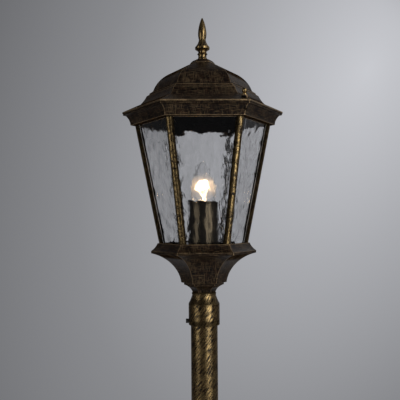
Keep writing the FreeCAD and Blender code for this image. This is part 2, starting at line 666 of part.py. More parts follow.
def bar_screws():
    """The lower screws come up through the gallery, the upper ones down through the cornice."""
    low = new_body("bar_screws_foot", GALLERY)
    place = f"{FOOT_CORNER} - bar_screw_foot"
    head = sketch_on(low, "XY_Plane", "head")
    draw_circle(head, place, "0", "bar_screw_head / 2")
    head_pad = raise_from(low, head, "bar_screw_head_height")
    shank = sketch_on(low, "XY_Plane", "shank")
    draw_circle(shank, place, "0", "bar_screw_dia / 2")
    shank_pad = raise_from(low, shank, "gallery_height + bar_screw_bite - glass_play")
    repeat_round(low, head, [head_pad, shank_pad], SIDES)

    high = new_body("bar_screws_top", CORNICE)
    place = f"{TOP_CORNER} - bar_screw_top"
    head = sketch_on(high, "XY_Plane", "head", "cornice_floor")
    draw_circle(head, place, "0", "bar_screw_head / 2")
    head_pad = raise_from(high, head, "bar_screw_head_height")
    shank = sketch_on(high, "XY_Plane", "shank", "glass_play - bar_screw_bite")
    draw_circle(shank, place, "0", "bar_screw_dia / 2")
    shank_pad = raise_from(high, shank, "cornice_floor + bar_screw_bite - glass_play")
    repeat_round(high, head, [head_pad, shank_pad], SIDES)


def glass_panes():
    lean = "cage_taper / cage_height"
    low = "(glass_play - gallery_slot)"
    high = f"(cage_height + cornice_slot - glass_play - glass_thick * sin({tilt()}))"
    low_side = f"(({FOOT} + {low} * {lean}) * tan(30) - {pane_edge()})"
    high_side = f"(({FOOT} + {high} * {lean}) * tan(30) - {pane_edge()})"
    for number in range(SIDES):
        pane = new_body(f"glass_pane_{number + 1}", CAGE, number * SIDE_ANGLE)
        outline = sketch_on(pane, "XZ_Plane", "outline", f"{FOOT} - glass_inset / cos({tilt()})")
        outline.AttachmentOffset.Rotation = FreeCAD.Rotation(FreeCAD.Vector(1, 0, 0), value(tilt()))
        outline.setExpression("AttachmentOffset.Rotation.Angle", bound(tilt()))
        draw(outline, [
            (f"-{low_side}", f"{low} / cos({tilt()})"),
            (low_side, f"{low} / cos({tilt()})"),
            (high_side, f"{high} / cos({tilt()})"),
            (f"-{high_side}", f"{high} / cos({tilt()})"),
        ])
        raise_from(pane, outline, "glass_thick").Reversed = True


def cornice_ring():
    lip = f"{TOP} + lip_out"
    body = carry_round(new_body("cornice_ring", CORNICE), [
        (f"{TOP} - cornice_bore", "0"),
        (lip, "0"),
        (lip, "lip_height"),
        ("eave_half - cove_inset", "cornice_height - bead_height - bead_fall"),
        ("eave_half - bead_inset", "cornice_height - bead_height"),
        ("eave_half - bead_inset", "cornice_height"),
        ("eave_half - bead_inset - cornice_wall", "cornice_height"),
        (f"{lip} - cornice_wall / 2", "cornice_floor"),
        (f"{TOP} - cornice_bore + curb_width", "cornice_floor"),
        (f"{TOP} - cornice_bore + curb_width", "curb_height"),
        (f"{TOP} - cornice_bore", "curb_height"),
    ], {2: ("right", "cornice_cove")})
    boss_sketch = sketch_on(body, "XY_Plane", "bosses", "cornice_floor")
    draw_circle(boss_sketch, *on_circle(KNOB_RADIUS, FRONT_KNOB_ANGLE), "thread_boss_dia / 2")
    bosses = raise_from(body, boss_sketch, "cornice_height - cornice_floor")
    tapped_sketch = sketch_on(body, "XY_Plane", "tapped", "cornice_height")
    draw_circle(tapped_sketch, *on_circle(KNOB_RADIUS, FRONT_KNOB_ANGLE), "knob_dia / 2 + knob_play")
    tapped = cut_into(body, tapped_sketch, "cornice_height - cornice_floor")
    repeat_round(body, boss_sketch, [bosses, tapped], 2)
    slot_sketch = sketch_on(body, "XY_Plane", "slots")
    draw(slot_sketch, pane_slot(TOP, "0", "cornice_slot"))
    slots = cut_into(body, slot_sketch, "cornice_slot", with_normal=True)
    hole_sketch = sketch_on(body, "XY_Plane", "screws")
    draw_circle(hole_sketch, f"{TOP_CORNER} - bar_screw_top", "0", "bar_screw_dia / 2 + screw_play")
    holes = cut_into(body, hole_sketch, "cornice_floor", with_normal=True)
    repeat_round(body, slot_sketch, [slots, holes], SIDES)


def roof():
    crease = "(eave_half - slope_run)"
    crease_level = "(roof_rim + slope_rise)"
    cove_top = f"({crease} - cove_run)"
    cove_level = f"({crease_level} + cove_rise)"
    upper_ledge = f"({cove_top} - ledge_run - ledge_lean)"
    upper_level = f"({cove_level} + ledge_rise + ledge_band)"
    dome = f"({upper_ledge} - ledge_run - dome_inset)"
    dome_level = f"({upper_level} + ledge_rise + dome_inset)"
    cap_level = "(roof_height - cap_height)"
    turn_level = f"({cap_level} - dome_fall)"
    # How far the inside lies below the outside at the corners of the section.
    below = "roof_wall / 2"
    body = carry_round(new_body("roof", ROOF), [
        ("eave_half - roof_wall", "0"),
        ("eave_half", "0"),
        ("eave_half", "roof_rim"),
        (crease, crease_level),
        (cove_top, cove_level),
        (f"{cove_top} - ledge_run", f"{cove_level} + ledge_rise"),
        (upper_ledge, upper_level),
        (f"{upper_ledge} - ledge_run", f"{upper_level} + ledge_rise"),
        (dome, dome_level),
        ("dome_turn_half", turn_level),
        ("dome_top_half", cap_level),
        ("cap_half", cap_level),
        ("cap_half", f"{cap_level} + cap_edge"),
        ("cap_top_half", "roof_height"),
        ("core_half", "roof_height"),
        ("core_half", "roof_height - crown_thick"),
        ("crown_half", "roof_height - crown_thick"),
        (f"dome_turn_half - {below}", f"{turn_level} - roof_wall"),
        (f"{dome} - roof_wall", f"{dome_level} - {below}"),
        (f"{cove_top} - roof_wall - {below}", f"{cove_level} - {below}"),
        (f"{crease} - roof_wall", f"{crease_level} - {below}"),
        ("eave_half - roof_wall", "rim_step"),
    ], {
        3: ("right", "roof_cove"), 8: ("left", "dome_round"), 12: ("left", "cap_round"),
        17: ("right", "dome_round - roof_wall"), 19: ("left", "roof_cove + roof_wall"),
    })
    bore(body, "stud_dia / 2 + screw_play", "stud_hole")
    pad_sketch = sketch_on(body, "XY_Plane", "pads")
    draw_circle(pad_sketch, *on_circle(KNOB_RADIUS, FRONT_KNOB_ANGLE), "knob_pad_dia / 2")
    pads = raise_from(body, pad_sketch, KNOB_PAD)
    hole_sketch = sketch_on(body, "XY_Plane", "screw_holes")
    draw_circle(hole_sketch, *on_circle(KNOB_RADIUS, FRONT_KNOB_ANGLE), "knob_dia / 2 + knob_play")
    holes = cut_into(body, hole_sketch, with_normal=True)
    repeat_round(body, pad_sketch, [pads, holes], 2)


def roof_knobs():
    """The ball-headed screws that hold the roof down, at two opposite corners."""
    ball_foot = "knob_neck_height"
    ball_centre = "(knob_neck_height + sqrt(knob_ball ^ 2 - knob_neck_dia ^ 2 / 4))"
    low = f"-(knob_gap + {KNOB_PAD} + seam_gap + knob_bite)"
    for label, angle in (("roof_knob_front", FRONT_KNOB_ANGLE), ("roof_knob_back", BACK_KNOB_ANGLE)):
        knob = new_body(label, f"{ROOF} + {KNOB_PAD} + knob_gap")
        x, y = on_circle(KNOB_RADIUS, angle)
        knob.setExpression("Placement.Base.x", bound(x))
        knob.setExpression("Placement.Base.y", bound(y))
        revolve(knob, [
            ("0", low),
            ("knob_dia / 2", low),
            ("knob_dia / 2", "0"),
            ("knob_foot_dia / 2", "0"),
            ("knob_foot_dia / 2", "knob_foot_height"),
            ("knob_neck_dia / 2", ball_foot),
            ("0", f"{ball_centre} + knob_ball"),
        ], {5: ("left", "knob_ball")})


def finial():
    waist = "finial_waist_dia / 2"
    revolve(new_body("finial", FINIAL), [
        ("stud_dia / 2 + screw_play", "0"),
        ("finial_foot_dia / 2", "0"),
        ("finial_foot_dia / 2", "finial_foot_height"),
        (waist, "finial_waist_height"),
        (waist, "finial_ring_low"),
        ("finial_ring_dia / 2", "finial_ring_mid"),
        (waist, "finial_ring_high"),
        (waist, "finial_neck_high"),
        ("finial_bell_dia / 2", "finial_bell_low"),
        ("finial_bell_dia / 2", "finial_bell_high"),
        ("finial_throat_dia / 2", "finial_throat_height"),
        ("finial_bud_dia / 2", "finial_bud_height"),
        ("finial_tip_dia / 2", "finial_height - finial_tip_height"),
        ("0", "finial_height"),
        ("0", "stud_bite"),
        ("stud_dia / 2 + screw_play", "stud_bite"),
    ], {9: ("right", "finial_bell_cove"), 10: ("left", "finial_bud_round"), 11: ("left", "finial_tip_round")})

    washer_low = f"{CROWN} - stud_washer_thick"
    hole = "stud_dia / 2 + screw_play"
    revolve(new_body("finial_washer", washer_low), [
        (hole, "0"), ("stud_washer_dia / 2", "0"), ("stud_washer_dia / 2", "stud_washer_thick"),
        (hole, "stud_washer_thick"),
    ])
    nut_low = f"({washer_low} - stud_nut_height)"
    nodes["finial_nut"] = nut("finial_nut", "stud_nut", hole, "stud_nut_height", nut_low)
    stud_length = "(stud_spare + stud_nut_height + stud_washer_thick + crown_thick + stud_bite - screw_play)"
    stud = new_body("finial_stud", f"{nut_low} - stud_spare")
    revolve(stud, [("0", "0"), ("stud_dia / 2", "0"), ("stud_dia / 2", stud_length), ("0", stud_length)])


def threaded_tube():
    hole = "nipple_dia / 2 + screw_play"
    high = f"({HOLDER} + holder_tap - screw_play)"
    inside = "nipple_bore / 2"
    outside = "nipple_dia / 2"
    revolve(new_body("nipple"), [(inside, TUBE_FOOT), (outside, TUBE_FOOT), (outside, high), (inside, high)])
    bowl_inside = f"({BOWL} + bowl_floor)"
    group("nipple_nuts", [
        nut("nut_below_fitter", "nut_width", hole, "nut_height", f"{WEB} - washer_thick - nut_height"),
        nut("nut_in_bowl", "nut_width", hole, "nut_height", f"{bowl_inside} + washer_thick"),
        nut("nut_in_sleeve", "nut_width", hole, "nut_height", f"{PLATE_TOP} + sleeve_floor"),
    ])
    washers = []
    for name, level in (("washer_below_fitter", f"{WEB} - washer_thick"), ("washer_in_bowl", bowl_inside)):
        disc = part_object("Part::Cylinder", f"{name}_disc", level,
                           Radius="washer_dia / 2", Height="washer_thick")
        opening = part_object("Part::Cylinder", f"{name}_opening", level, Radius=hole, Height="washer_thick")
        washers.append(cut_part(name, disc, opening))
    group("nipple_washers", washers)


def floor_plate():
    plate = new_body("floor_plate", PLATE)
    outline = sketch_on(plate, "XY_Plane", "outline")
    draw(outline, hexagon(f"({FOOT} - gallery_bore - plate_play)"))
    raise_from(plate, outline, "plate_thick")
    bore(plate, "nipple_dia / 2 + screw_play", "bore")
    holes = sketch_on(plate, "XY_Plane", "screw_holes")
    draw_circle(holes, PLATE_SCREW, "0", "plate_screw_dia / 2 + screw_play")
    draw_circle(holes, f"-{PLATE_SCREW}", "0", "plate_screw_dia / 2 + screw_play")
    cut_into(plate, holes, with_normal=True)


def wiring():
    """The terminal block hangs under the floor plate, with the earth screw opposite."""
    block = new_body("terminal_block", f"{PLATE} - block_height")
    near = f"{BLOCK_END} - block_length"
    far = BLOCK_END
    outline = sketch_on(block, "XY_Plane", "outline")
    draw(outline, [
        (near, "-block_width / 2"), (far, "-block_width / 2"), (far, "block_width / 2"), (near, "block_width / 2"),
    ])
    raise_from(block, outline, "block_height")
    ways = sketch_on(block, "YZ_Plane", "ways")
    pitch = "block_width / block_ways"
    draw_circle(ways, f"-{pitch}", "block_height / 4", "block_hole / 2")
    way = cut_into(block, ways, with_normal=True)
    row = block.newObject("PartDesign::LinearPattern", "terminal_block_ways_repeated")
    row.Originals = [way]
    row.Direction = (ways, ["H_Axis"])
    row.setExpression("Length", bound(f"({pitch}) * (block_ways - 1)"))
    row.setExpression("Occurrences", bound("block_ways"))
    block.Tip = row
    screw_hole = sketch_on(block, "XY_Plane", "screw_hole", "block_height")
    draw_circle(screw_hole, PLATE_SCREW, "0", "plate_screw_dia / 2 + screw_play")
    cut_into(block, screw_hole, "plate_screw_length")

    for label, x in (("terminal_screw", PLATE_SCREW), ("earth_screw", f"-{PLATE_SCREW}")):
        screw = new_body(label, PLATE_TOP)
        screw.setExpression("Placement.Base.x", bound(x))
        low = "screw_play - plate_thick - plate_screw_length"
        revolve(screw, pin_section("plate_screw_dia / 2", low, "plate_screw_head / 2", "0",
                                   "plate_screw_head_height"))
    earth = nut("earth_nut_piece", "earth_nut", "plate_screw_dia / 2 + screw_play", "earth_nut_height",
                f"{PLATE} - earth_nut_height")
    for item in (earth.Base, earth.Tool):
        item.setExpression("Placement.Base.x", bound(f"-{PLATE_SCREW}"))
    earth.Label = "earth_nut"
    nodes["earth_nut"] = earth


def lampholder():
    outer = "sleeve_dia / 2"
    inner = "(sleeve_dia / 2 - sleeve_wall)"
    hole = "nipple_dia / 2 + screw_play"
    lip_low = "(sleeve_height - sleeve_lip_height)"
    revolve(new_body("holder_sleeve", PLATE_TOP), [
        (hole, "0"),
        (inner, "0"),
        (outer, "sleeve_wall"),
        (outer, lip_low),
        (f"{outer} + sleeve_lip", "sleeve_height - sleeve_wall"),
        (f"{outer} + sleeve_lip", "sleeve_height"),
        (f"{inner} + sleeve_lip", "sleeve_height"),
        (inner, lip_low),
        (inner, "sleeve_floor"),
        (hole, "sleeve_floor"),
    ])
    revolve(new_body("holder_body", HOLDER), [
        (hole, "0"),
        ("holder_dia / 2", "0"),
        ("holder_dia / 2", "holder_height - holder_chamfer"),
        ("holder_dia / 2 - holder_chamfer", "holder_height"),
        ("holder_bore / 2", "holder_height"),
        ("holder_bore / 2", "holder_base"),
        ("nipple_bore / 2", "holder_base"),
        ("nipple_bore / 2", "holder_tap"),
        (hole, "holder_tap"),
    ])
    shell_high = "holder_height - shell_inset"
    shell_low = "holder_height - shell_inset - shell_height"
    shell_inner = "holder_bore / 2 - shell_wall"
    revolve(new_body("holder_shell", HOLDER), [
        (shell_inner, shell_low), ("holder_bore / 2", shell_low), ("holder_bore / 2", shell_high),
        (shell_inner, shell_high),
    ])
    contact_top = "(lamp_level - lamp_gap - sleeve_floor - nut_height)"
    revolve(new_body("holder_contact", HOLDER), [
        ("0", f"{contact_top} - contact_wall"),
        ("contact_dia / 2 - contact_wall", f"{contact_top} - contact_wall"),
        ("contact_dia / 2 - contact_wall", "holder_base + contact_wall"),
        ("nipple_bore / 2 + contact_wall", "holder_base"),
        ("contact_foot_dia / 2", "holder_base"),
        ("contact_foot_dia / 2", "holder_base + contact_wall"),
        ("contact_dia / 2", "holder_base + contact_wall * 2"),
        ("contact_dia / 2", contact_top),
        ("0", contact_top),
    ])


def candle_lamp():
    revolve(new_body("lamp_tip", LAMP), [
        ("0", "0"), ("lamp_tip_dia / 2 - lamp_cap_wall", "0"), ("lamp_tip_dia / 2", "lamp_tip_height"),
        ("0", "lamp_tip_height"),
    ])
    revolve(new_body("lamp_insulator", LAMP), [
        ("0", "lamp_tip_height"), ("lamp_tip_dia / 2", "lamp_tip_height"),
        ("lamp_insulator_dia / 2", "lamp_insulator_top - lamp_cap_wall"),
        ("lamp_insulator_dia / 2", "lamp_insulator_top"), ("0", "lamp_insulator_top"),
    ])
    cap_inner = "lamp_cap_dia / 2 - lamp_cap_wall"
    revolve(new_body("lamp_cap", LAMP), [
        ("lamp_insulator_dia / 2", "lamp_insulator_top - lamp_cap_wall"),
        ("lamp_cap_dia / 2", "lamp_cap_low"),
        ("lamp_cap_dia / 2", "lamp_cap_high"),
        (cap_inner, "lamp_cap_high"),
        (cap_inner, "lamp_cap_low + lamp_cap_wall"),
        ("lamp_insulator_dia / 2", "lamp_insulator_top"),
    ])
    nose = "(lamp_height - lamp_nose_round + sqrt(lamp_nose_round ^ 2 - lamp_nose_dia ^ 2 / 4))"
    revolve(new_body("lamp_glass", LAMP), [
        ("lamp_neck_dia / 2 - lamp_glass", "lamp_neck_low"),
        ("lamp_neck_dia / 2", "lamp_neck_low"),
        ("lamp_neck_dia / 2", "lamp_neck_high"),
        ("lamp_dia / 2", "lamp_belly"),
        ("lamp_nose_dia / 2", nose),
        ("0", "lamp_height"),
        ("0", "lamp_height - lamp_glass * 2"),
        ("lamp_nose_dia / 2 - lamp_glass", f"{nose} - lamp_glass / 2"),
        ("lamp_dia / 2 - lamp_glass", "lamp_belly"),
        ("lamp_neck_dia / 2 - lamp_glass", "lamp_neck_high"),
    ], {
        2: ("left", "lamp_belly_round"), 3: ("left", "lamp_flame_round"), 4: ("left", "lamp_nose_round"),
        7: ("right", "lamp_flame_round"), 8: ("right", "lamp_belly_round"),
    })
    revolve(new_body("lamp_stem", LAMP), [
        ("0", "stem_low"), ("stem_foot_dia / 2", "stem_low"), ("stem_dia / 2", "stem_waist"),
        ("stem_dia / 2", "stem_high"), ("0", "stem_high"),
    ])
    filament()


def filament():
    """A loop of wire on two supports that stand on the stem."""
    loop = part_object("Part::Torus", "filament_loop", f"{LAMP} + filament_height",
                       Radius1="filament_radius", Radius2="filament_wire", Angle3="270")
    supports = []
    for name, side in (("support_right", 1), ("support_left", -1)):
        wire = new_body(name, f"{LAMP} + stem_high")
        section = sketch_on(wire, "XY_Plane", "section")
        draw_circle(section, f"{side} * (stem_dia / 2 - filament_wire * 2)", "0", "filament_wire")
        length = raise_from(wire, section, "filament_height - stem_high - filament_wire")
        length.UseCustomVector = True
        length.Direction = UP
        spread = f"{side} * (filament_radius - stem_dia / 2 + filament_wire * 2)"
        length.setExpression("Direction.x", bound(spread))
        length.setExpression("Direction.z", bound("filament_height - stem_high - filament_wire"))
        supports.append(nodes.pop(name))
    group("lamp_filament", [loop, *supports])


def check_document():
    """Stops if any object failed to build, before anything is written."""
    failed = [item.Label for item in doc.Objects if {"Invalid", "Error"} & set(item.State)]
    failed += [label for label, item in nodes.items() if item.Shape.isNull() or not item.Shape.isValid()]
    if failed:
        raise RuntimeError("did not build: " + ", ".join(failed))


base_and_post()
post_fitter()
bowl()
gallery_ring()
threaded_tube()
floor_plate()
wiring()
lampholder()
candle_lamp()
corner_bars()
glass_panes()
bar_screws()
cornice_ring()
roof()
roof_knobs()
finial()
doc.recompute()
check_document()

os.makedirs("parts", exist_ok=True)
for label, item in nodes.items():
    item.Shape.exportStep(f"parts/{label}.step")
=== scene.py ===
import json
import math

import bmesh
import bpy
import numpy as np
from mathutils import Matrix, Vector, noise


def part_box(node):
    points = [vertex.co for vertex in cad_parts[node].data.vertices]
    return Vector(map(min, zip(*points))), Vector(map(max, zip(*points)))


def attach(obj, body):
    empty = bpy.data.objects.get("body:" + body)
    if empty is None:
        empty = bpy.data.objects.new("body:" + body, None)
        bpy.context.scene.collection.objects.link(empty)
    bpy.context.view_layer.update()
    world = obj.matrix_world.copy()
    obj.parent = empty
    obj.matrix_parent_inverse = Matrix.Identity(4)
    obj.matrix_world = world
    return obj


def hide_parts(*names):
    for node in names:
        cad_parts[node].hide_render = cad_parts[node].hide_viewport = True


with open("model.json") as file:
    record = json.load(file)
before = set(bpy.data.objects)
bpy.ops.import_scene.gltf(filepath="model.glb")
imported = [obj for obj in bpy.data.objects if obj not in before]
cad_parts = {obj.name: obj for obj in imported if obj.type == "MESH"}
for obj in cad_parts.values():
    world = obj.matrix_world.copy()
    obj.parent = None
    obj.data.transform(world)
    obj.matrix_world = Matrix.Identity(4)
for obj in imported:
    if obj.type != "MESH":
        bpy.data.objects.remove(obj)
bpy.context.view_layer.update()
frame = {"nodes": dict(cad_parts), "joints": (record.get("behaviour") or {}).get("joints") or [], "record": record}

# A six-sided garden lantern on a post: black-brown paint brushed with gold, rippled panes and a lit candle
# lamp.  Lengths are in metres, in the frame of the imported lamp.
MM = 0.001
SIDES = 6
SIDE_ANGLE = 2 * math.pi / SIDES
WELD = 1e-6

# Outlines read from the frame

# Which turns of an outline are sharp, how far a round may reach along its two sides, and its own points.
SHARP_TURN = math.radians(20)
ROUND_SHARE = 0.35
ROUND_STEPS = (0, 0.25, 0.5, 0.75, 1)
# A stretch this many times longer than the one beside it sets the direction at their common point.
LONG_STRETCH = 2.5
# More points beside a worn corner, and the share of a stretch that they may take up.
BESIDE_CORNER = (0.6 * MM, 1.5 * MM, 3 * MM)
BESIDE_SHARE = 0.4
# How worn a corner is, how much more so where it faces up, and how far its rubbed gold reaches.
CORNER_WEAR = 0.95
UPWARD_WEAR = 0.2
WEAR_REACH = 0.25 * MM


def cut_outline(node, to_plane):
    """Outline of a node's cut at the plane y = 0 of the given placement, where x is positive."""
    cut = bmesh.new()
    cut.from_mesh(frame["nodes"][node].data)
    cut.transform(to_plane)
    bmesh.ops.remove_doubles(cut, verts=cut.verts, dist=WELD)
    geometry = cut.verts[:] + cut.edges[:] + cut.faces[:]
    found = bmesh.ops.bisect_plane(cut, geom=geometry, dist=WELD, plane_co=(0, 0, 0), plane_no=(0, 1, 0))
    near = {}
    for edge in found["geom_cut"]:
        if isinstance(edge, bmesh.types.BMEdge) and edge.verts[0].co.x + edge.verts[1].co.x > WELD:
            one, other = edge.verts
            near.setdefault(one, []).append(other)
            near.setdefault(other, []).append(one)
    ends = [vert for vert, others in near.items() if len(others) == 1]
    chain = [min(ends or near, key=lambda vert: (vert.co.z, -vert.co.x))]
    seen = set(chain)
    while True:
        ahead = [vert for vert in near[chain[-1]] if vert not in seen]
        if not ahead:
            break
        chain.append(ahead[0])
        seen.add(ahead[0])
    points = [np.array((vert.co.x, vert.co.z)) for vert in chain]
    cut.free()
    if twice_area(points) < 0:
        points.reverse()
    return without_straight_points(points), not ends


def twice_area(points):
    """Positive where the outline runs counter-clockwise."""
    following = points[1:] + points[:1]
    return sum(a[0] * b[1] - b[0] * a[1] for a, b in zip(points, following))


def without_straight_points(points):
    """The outline without the points that lie on a straight line between their neighbours."""
    kept = []
    for index, point in enumerate(points):
        before = kept[-1] if kept else points[-1]
        after = points[(index + 1) % len(points)]
        way = after - before
        aside = abs(way[0] * (point - before)[1] - way[1] * (point - before)[0])
        if index in (0, len(points) - 1) or aside > WELD * 2 * np.linalg.norm(way):
            kept.append(point)
    return kept


def turn_at(before, point, after):
    """Angle by which an outline turns at a point, positive to the left."""
    first, second = point - before, after - point
    return math.atan2(first[0] * second[1] - first[1] * second[0], first @ second)


def filleted(points, closed, radius):
    """The outline with small rounds at its sharp corners, and how worn each point is."""
    rounded, worn = [], []
    for index, point in enumerate(points):
        at_end = not closed and index in (0, len(points) - 1)
        before, after = points[index - 1], points[(index + 1) % len(points)]
        turn = 0 if at_end else turn_at(before, point, after)
        if abs(turn) < SHARP_TURN:
            rounded.append(point)
            worn.append(0.0)
            continue
        back, ahead = before - point, after - point
        far_back, far_ahead = np.linalg.norm(back), np.linalg.norm(ahead)
        reach = min(radius, ROUND_SHARE * far_back, ROUND_SHARE * far_ahead)
        start = point + back / far_back * reach
        finish = point + ahead / far_ahead * reach
        faces_up = -(back / far_back + ahead / far_ahead)[1]
        wear = min(1.0, CORNER_WEAR + UPWARD_WEAR * faces_up)
        for share in ROUND_STEPS:
            rounded.append(start * (1 - share) ** 2 + point * 2 * share * (1 - share) + finish * share ** 2)
            worn.append(wear if turn > 0 else 0.0)
    return rounded, worn


def directions(points, closed):
    """Direction of the smooth curve through the points, at each point."""
    found = []
    for index, point in enumerate(points):
        first = index == 0 and not closed
        last = index == len(points) - 1 and not closed
        back = point - points[index - 1]
        ahead = points[(index + 1) % len(points)] - point
        lengths = np.linalg.norm(back), np.linalg.norm(ahead)
        if first or (not last and lengths[1] > LONG_STRETCH * lengths[0]):
            found.append(ahead / lengths[1])
        elif last or lengths[0] > LONG_STRETCH * lengths[1]:
            found.append(back / lengths[0])
        else:
            way = back / lengths[0] + ahead / lengths[1]
            found.append(way / np.linalg.norm(way))
    return found


def smooth_outline(points, closed, radius, step):
    """Points about a step apart along the filleted outline, with how worn each one is and how far along it
    lies."""
    corners, worn = filleted(points, closed, radius)
    ways = directions(corners, closed)
    count = len(corners)
    spots, edge = [], []
    for index in range(count if closed else count - 1):
        after = (index + 1) % count
        start, finish = corners[index], corners[after]
        length = np.linalg.norm(finish - start)
        for along in stations(length, step, worn[index], worn[after]):
            share = along / length
            rise = share * share * (3 - 2 * share)
            leave = share * (1 - share) ** 2 * length
            arrive = share ** 2 * (share - 1) * length
            spots.append(start + (finish - start) * rise + ways[index] * leave + ways[after] * arrive)
            edge.append(max(worn[index] * math.exp(-along / WEAR_REACH),
                            worn[after] * math.exp((along - length) / WEAR_REACH)))
    if not closed:
        spots.append(corners[-1])
        edge.append(worn[-1])
    spots = np.array(spots)
    along = np.concatenate(([0], np.cumsum(np.linalg.norm(np.diff(spots, axis=0), axis=1))))
    return spots, np.array(edge), along


def stations(length, step, worn_start, worn_end):
    """Distances along one stretch of an outline, closer together beside a worn corner."""
    beside = [distance for distance in BESIDE_CORNER if distance < length * BESIDE_SHARE]
    low = beside if worn_start else []
    high = [length - distance for distance in reversed(beside)] if worn_end else []
    first, last = (low or [0])[-1], (high or [length])[0]
    count = max(1, round((last - first) / step))
    middle = [first + (last - first) * k / count for k in range(count)]
    return sorted({0.0, *low, *middle, *high})


# Meshes

# How quickly the gold ends where an outline turns inwards, towards the painted shade of the inside.
SKIN_SLOPE = 4


def grid_mesh(name, points, closed_rows, brush, edge, skin):
    """A piece whose columns close in a ring.  points has a row for each outline point; brush gives every
    corner's place for the brush strokes, with one more column than points; edge tells how worn a point is
    and skin how much of the gold it keeps, which is none inside, where its dark is painted shade."""
    rows, columns = points.shape[:2]
    row = np.arange(rows if closed_rows else rows - 1)[:, None]
    column = np.arange(columns)[None, :]
    below, above = row + 0 * column, (row + 1) % rows + 0 * column
    here, right = column + 0 * row, (column + 1) % columns + 0 * row
    faces = np.stack([below * columns + here, below * columns + right,
                      above * columns + right, above * columns + here], axis=-1).reshape(-1, 4)
    places = np.stack([brush[below, here], brush[below, here + 1],
                       brush[above, here + 1], brush[above, here]], axis=2).reshape(-1, 3)
    mesh = bpy.data.meshes.new(name)
    mesh.from_pydata(points.reshape(-1, 3).tolist(), [], faces.tolist())
    mesh.attributes.new("brush", "FLOAT_VECTOR", "CORNER").data.foreach_set("vector", places.ravel())
    mesh.attributes.new("edge", "FLOAT", "POINT").data.foreach_set("value", edge.ravel())
    mesh.attributes.new("skin", "FLOAT", "POINT").data.foreach_set("value", skin.ravel())
    return mesh


def link(item):
    """Puts an object into the scene."""
    bpy.context.scene.collection.objects.link(item)
    return item


def new_piece(mesh):
    """A clean, smooth object from a mesh."""
    clean = bmesh.new()
    clean.from_mesh(mesh)
    bmesh.ops.remove_doubles(clean, verts=clean.verts, dist=WELD / 10)
    bmesh.ops.recalc_face_normals(clean, faces=clean.faces)
    for face in clean.faces:
        face.smooth = True
    clean.to_mesh(mesh)
    clean.free()
    return link(bpy.data.objects.new(mesh.name, mesh))


def capped(mesh):
    """The mesh with its open ends closed."""
    shut = bmesh.new()
    shut.from_mesh(mesh)
    bmesh.ops.holes_fill(shut, edges=[edge for edge in shut.edges if edge.is_boundary])
    shut.to_mesh(mesh)
    shut.free()
    return mesh


def stand_for(piece, node, material):
    """The piece takes the place of a node of the frame, on its body and in its material slot."""
    body = next(name for name, members in frame["record"]["behaviour"]["bodies"].items() if node in members)
    piece.data.materials.append(material)
    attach(piece, body)
    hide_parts(node)
    return piece


def facing_out(spots):
    """1 where a counter-clockwise outline faces away from the axis, 0 where it faces in."""
    # The 0 inside leaves the inside ungilded and dark: plain paint, and painted shade as well.
    way = np.roll(spots, -1, axis=0) - np.roll(spots, 1, axis=0)
    way /= np.linalg.norm(way, axis=1)[:, None] + WELD
    return np.clip(way[:, 1] * SKIN_SLOPE + 0.5, 0, 1)


# Castings

CAST_FILLET = 0.5 * MM
CAST_STEP = 2.2 * MM
# Columns to half a side and to a corner, and the power that draws a side's columns towards its corners.
SIDE_STEPS = 16
CORNER_STEPS = 4
TOWARDS_CORNER = 1.5
# The widest a ridge may be as a share of the half width, and how worn the ridges between two sides are.
RIDGE_SHARE = 0.3
RIDGE_WEAR = 0.82
# How far the widest rim reaches, and how far the gold beside it does.
RIM_REACH = 4 * MM
GOLD_REACH = 12 * MM
# Every side has its strokes this far from those of the side before, so that no two look alike.
SIDE_SHIFT = 50 * MM
# Each casting's ridge, the wear of its rim, the wear of its other edges, and the gold beside its rim.
CASTINGS = {
    "roof": (0.9 * MM, 0.88, 0.85, 0.3),
    "cornice_ring": (0.8 * MM, 0.3, 1.25, 0.4),
    "gallery_ring": (0.8 * MM, 0.78, 0.95, 0.4),
    "bowl": (0.9 * MM, 0.5, 0.85, 0.3),
}
# How far the roof's pads and the cornice's bosses for the roof screws reach from the screws' axes.
PAD_REACH = 4.25 * MM
BOSS_REACH = 3.45 * MM


def side_spots():
    """Places round a hexagon: side number, place from -1 to 1 along the side, share of the corner's turn."""
    halves = [1 - (1 - k / SIDE_STEPS) ** TOWARDS_CORNER for k in range(SIDE_STEPS + 1)]
    along = [-h for h in reversed(halves[1:])] + halves
    spots = []
    for side in range(SIDES):
        spots += [(side, place, 0.0) for place in along]
        spots += [(side, 1.0, k / CORNER_STEPS) for k in range(1, CORNER_STEPS)]
    return spots


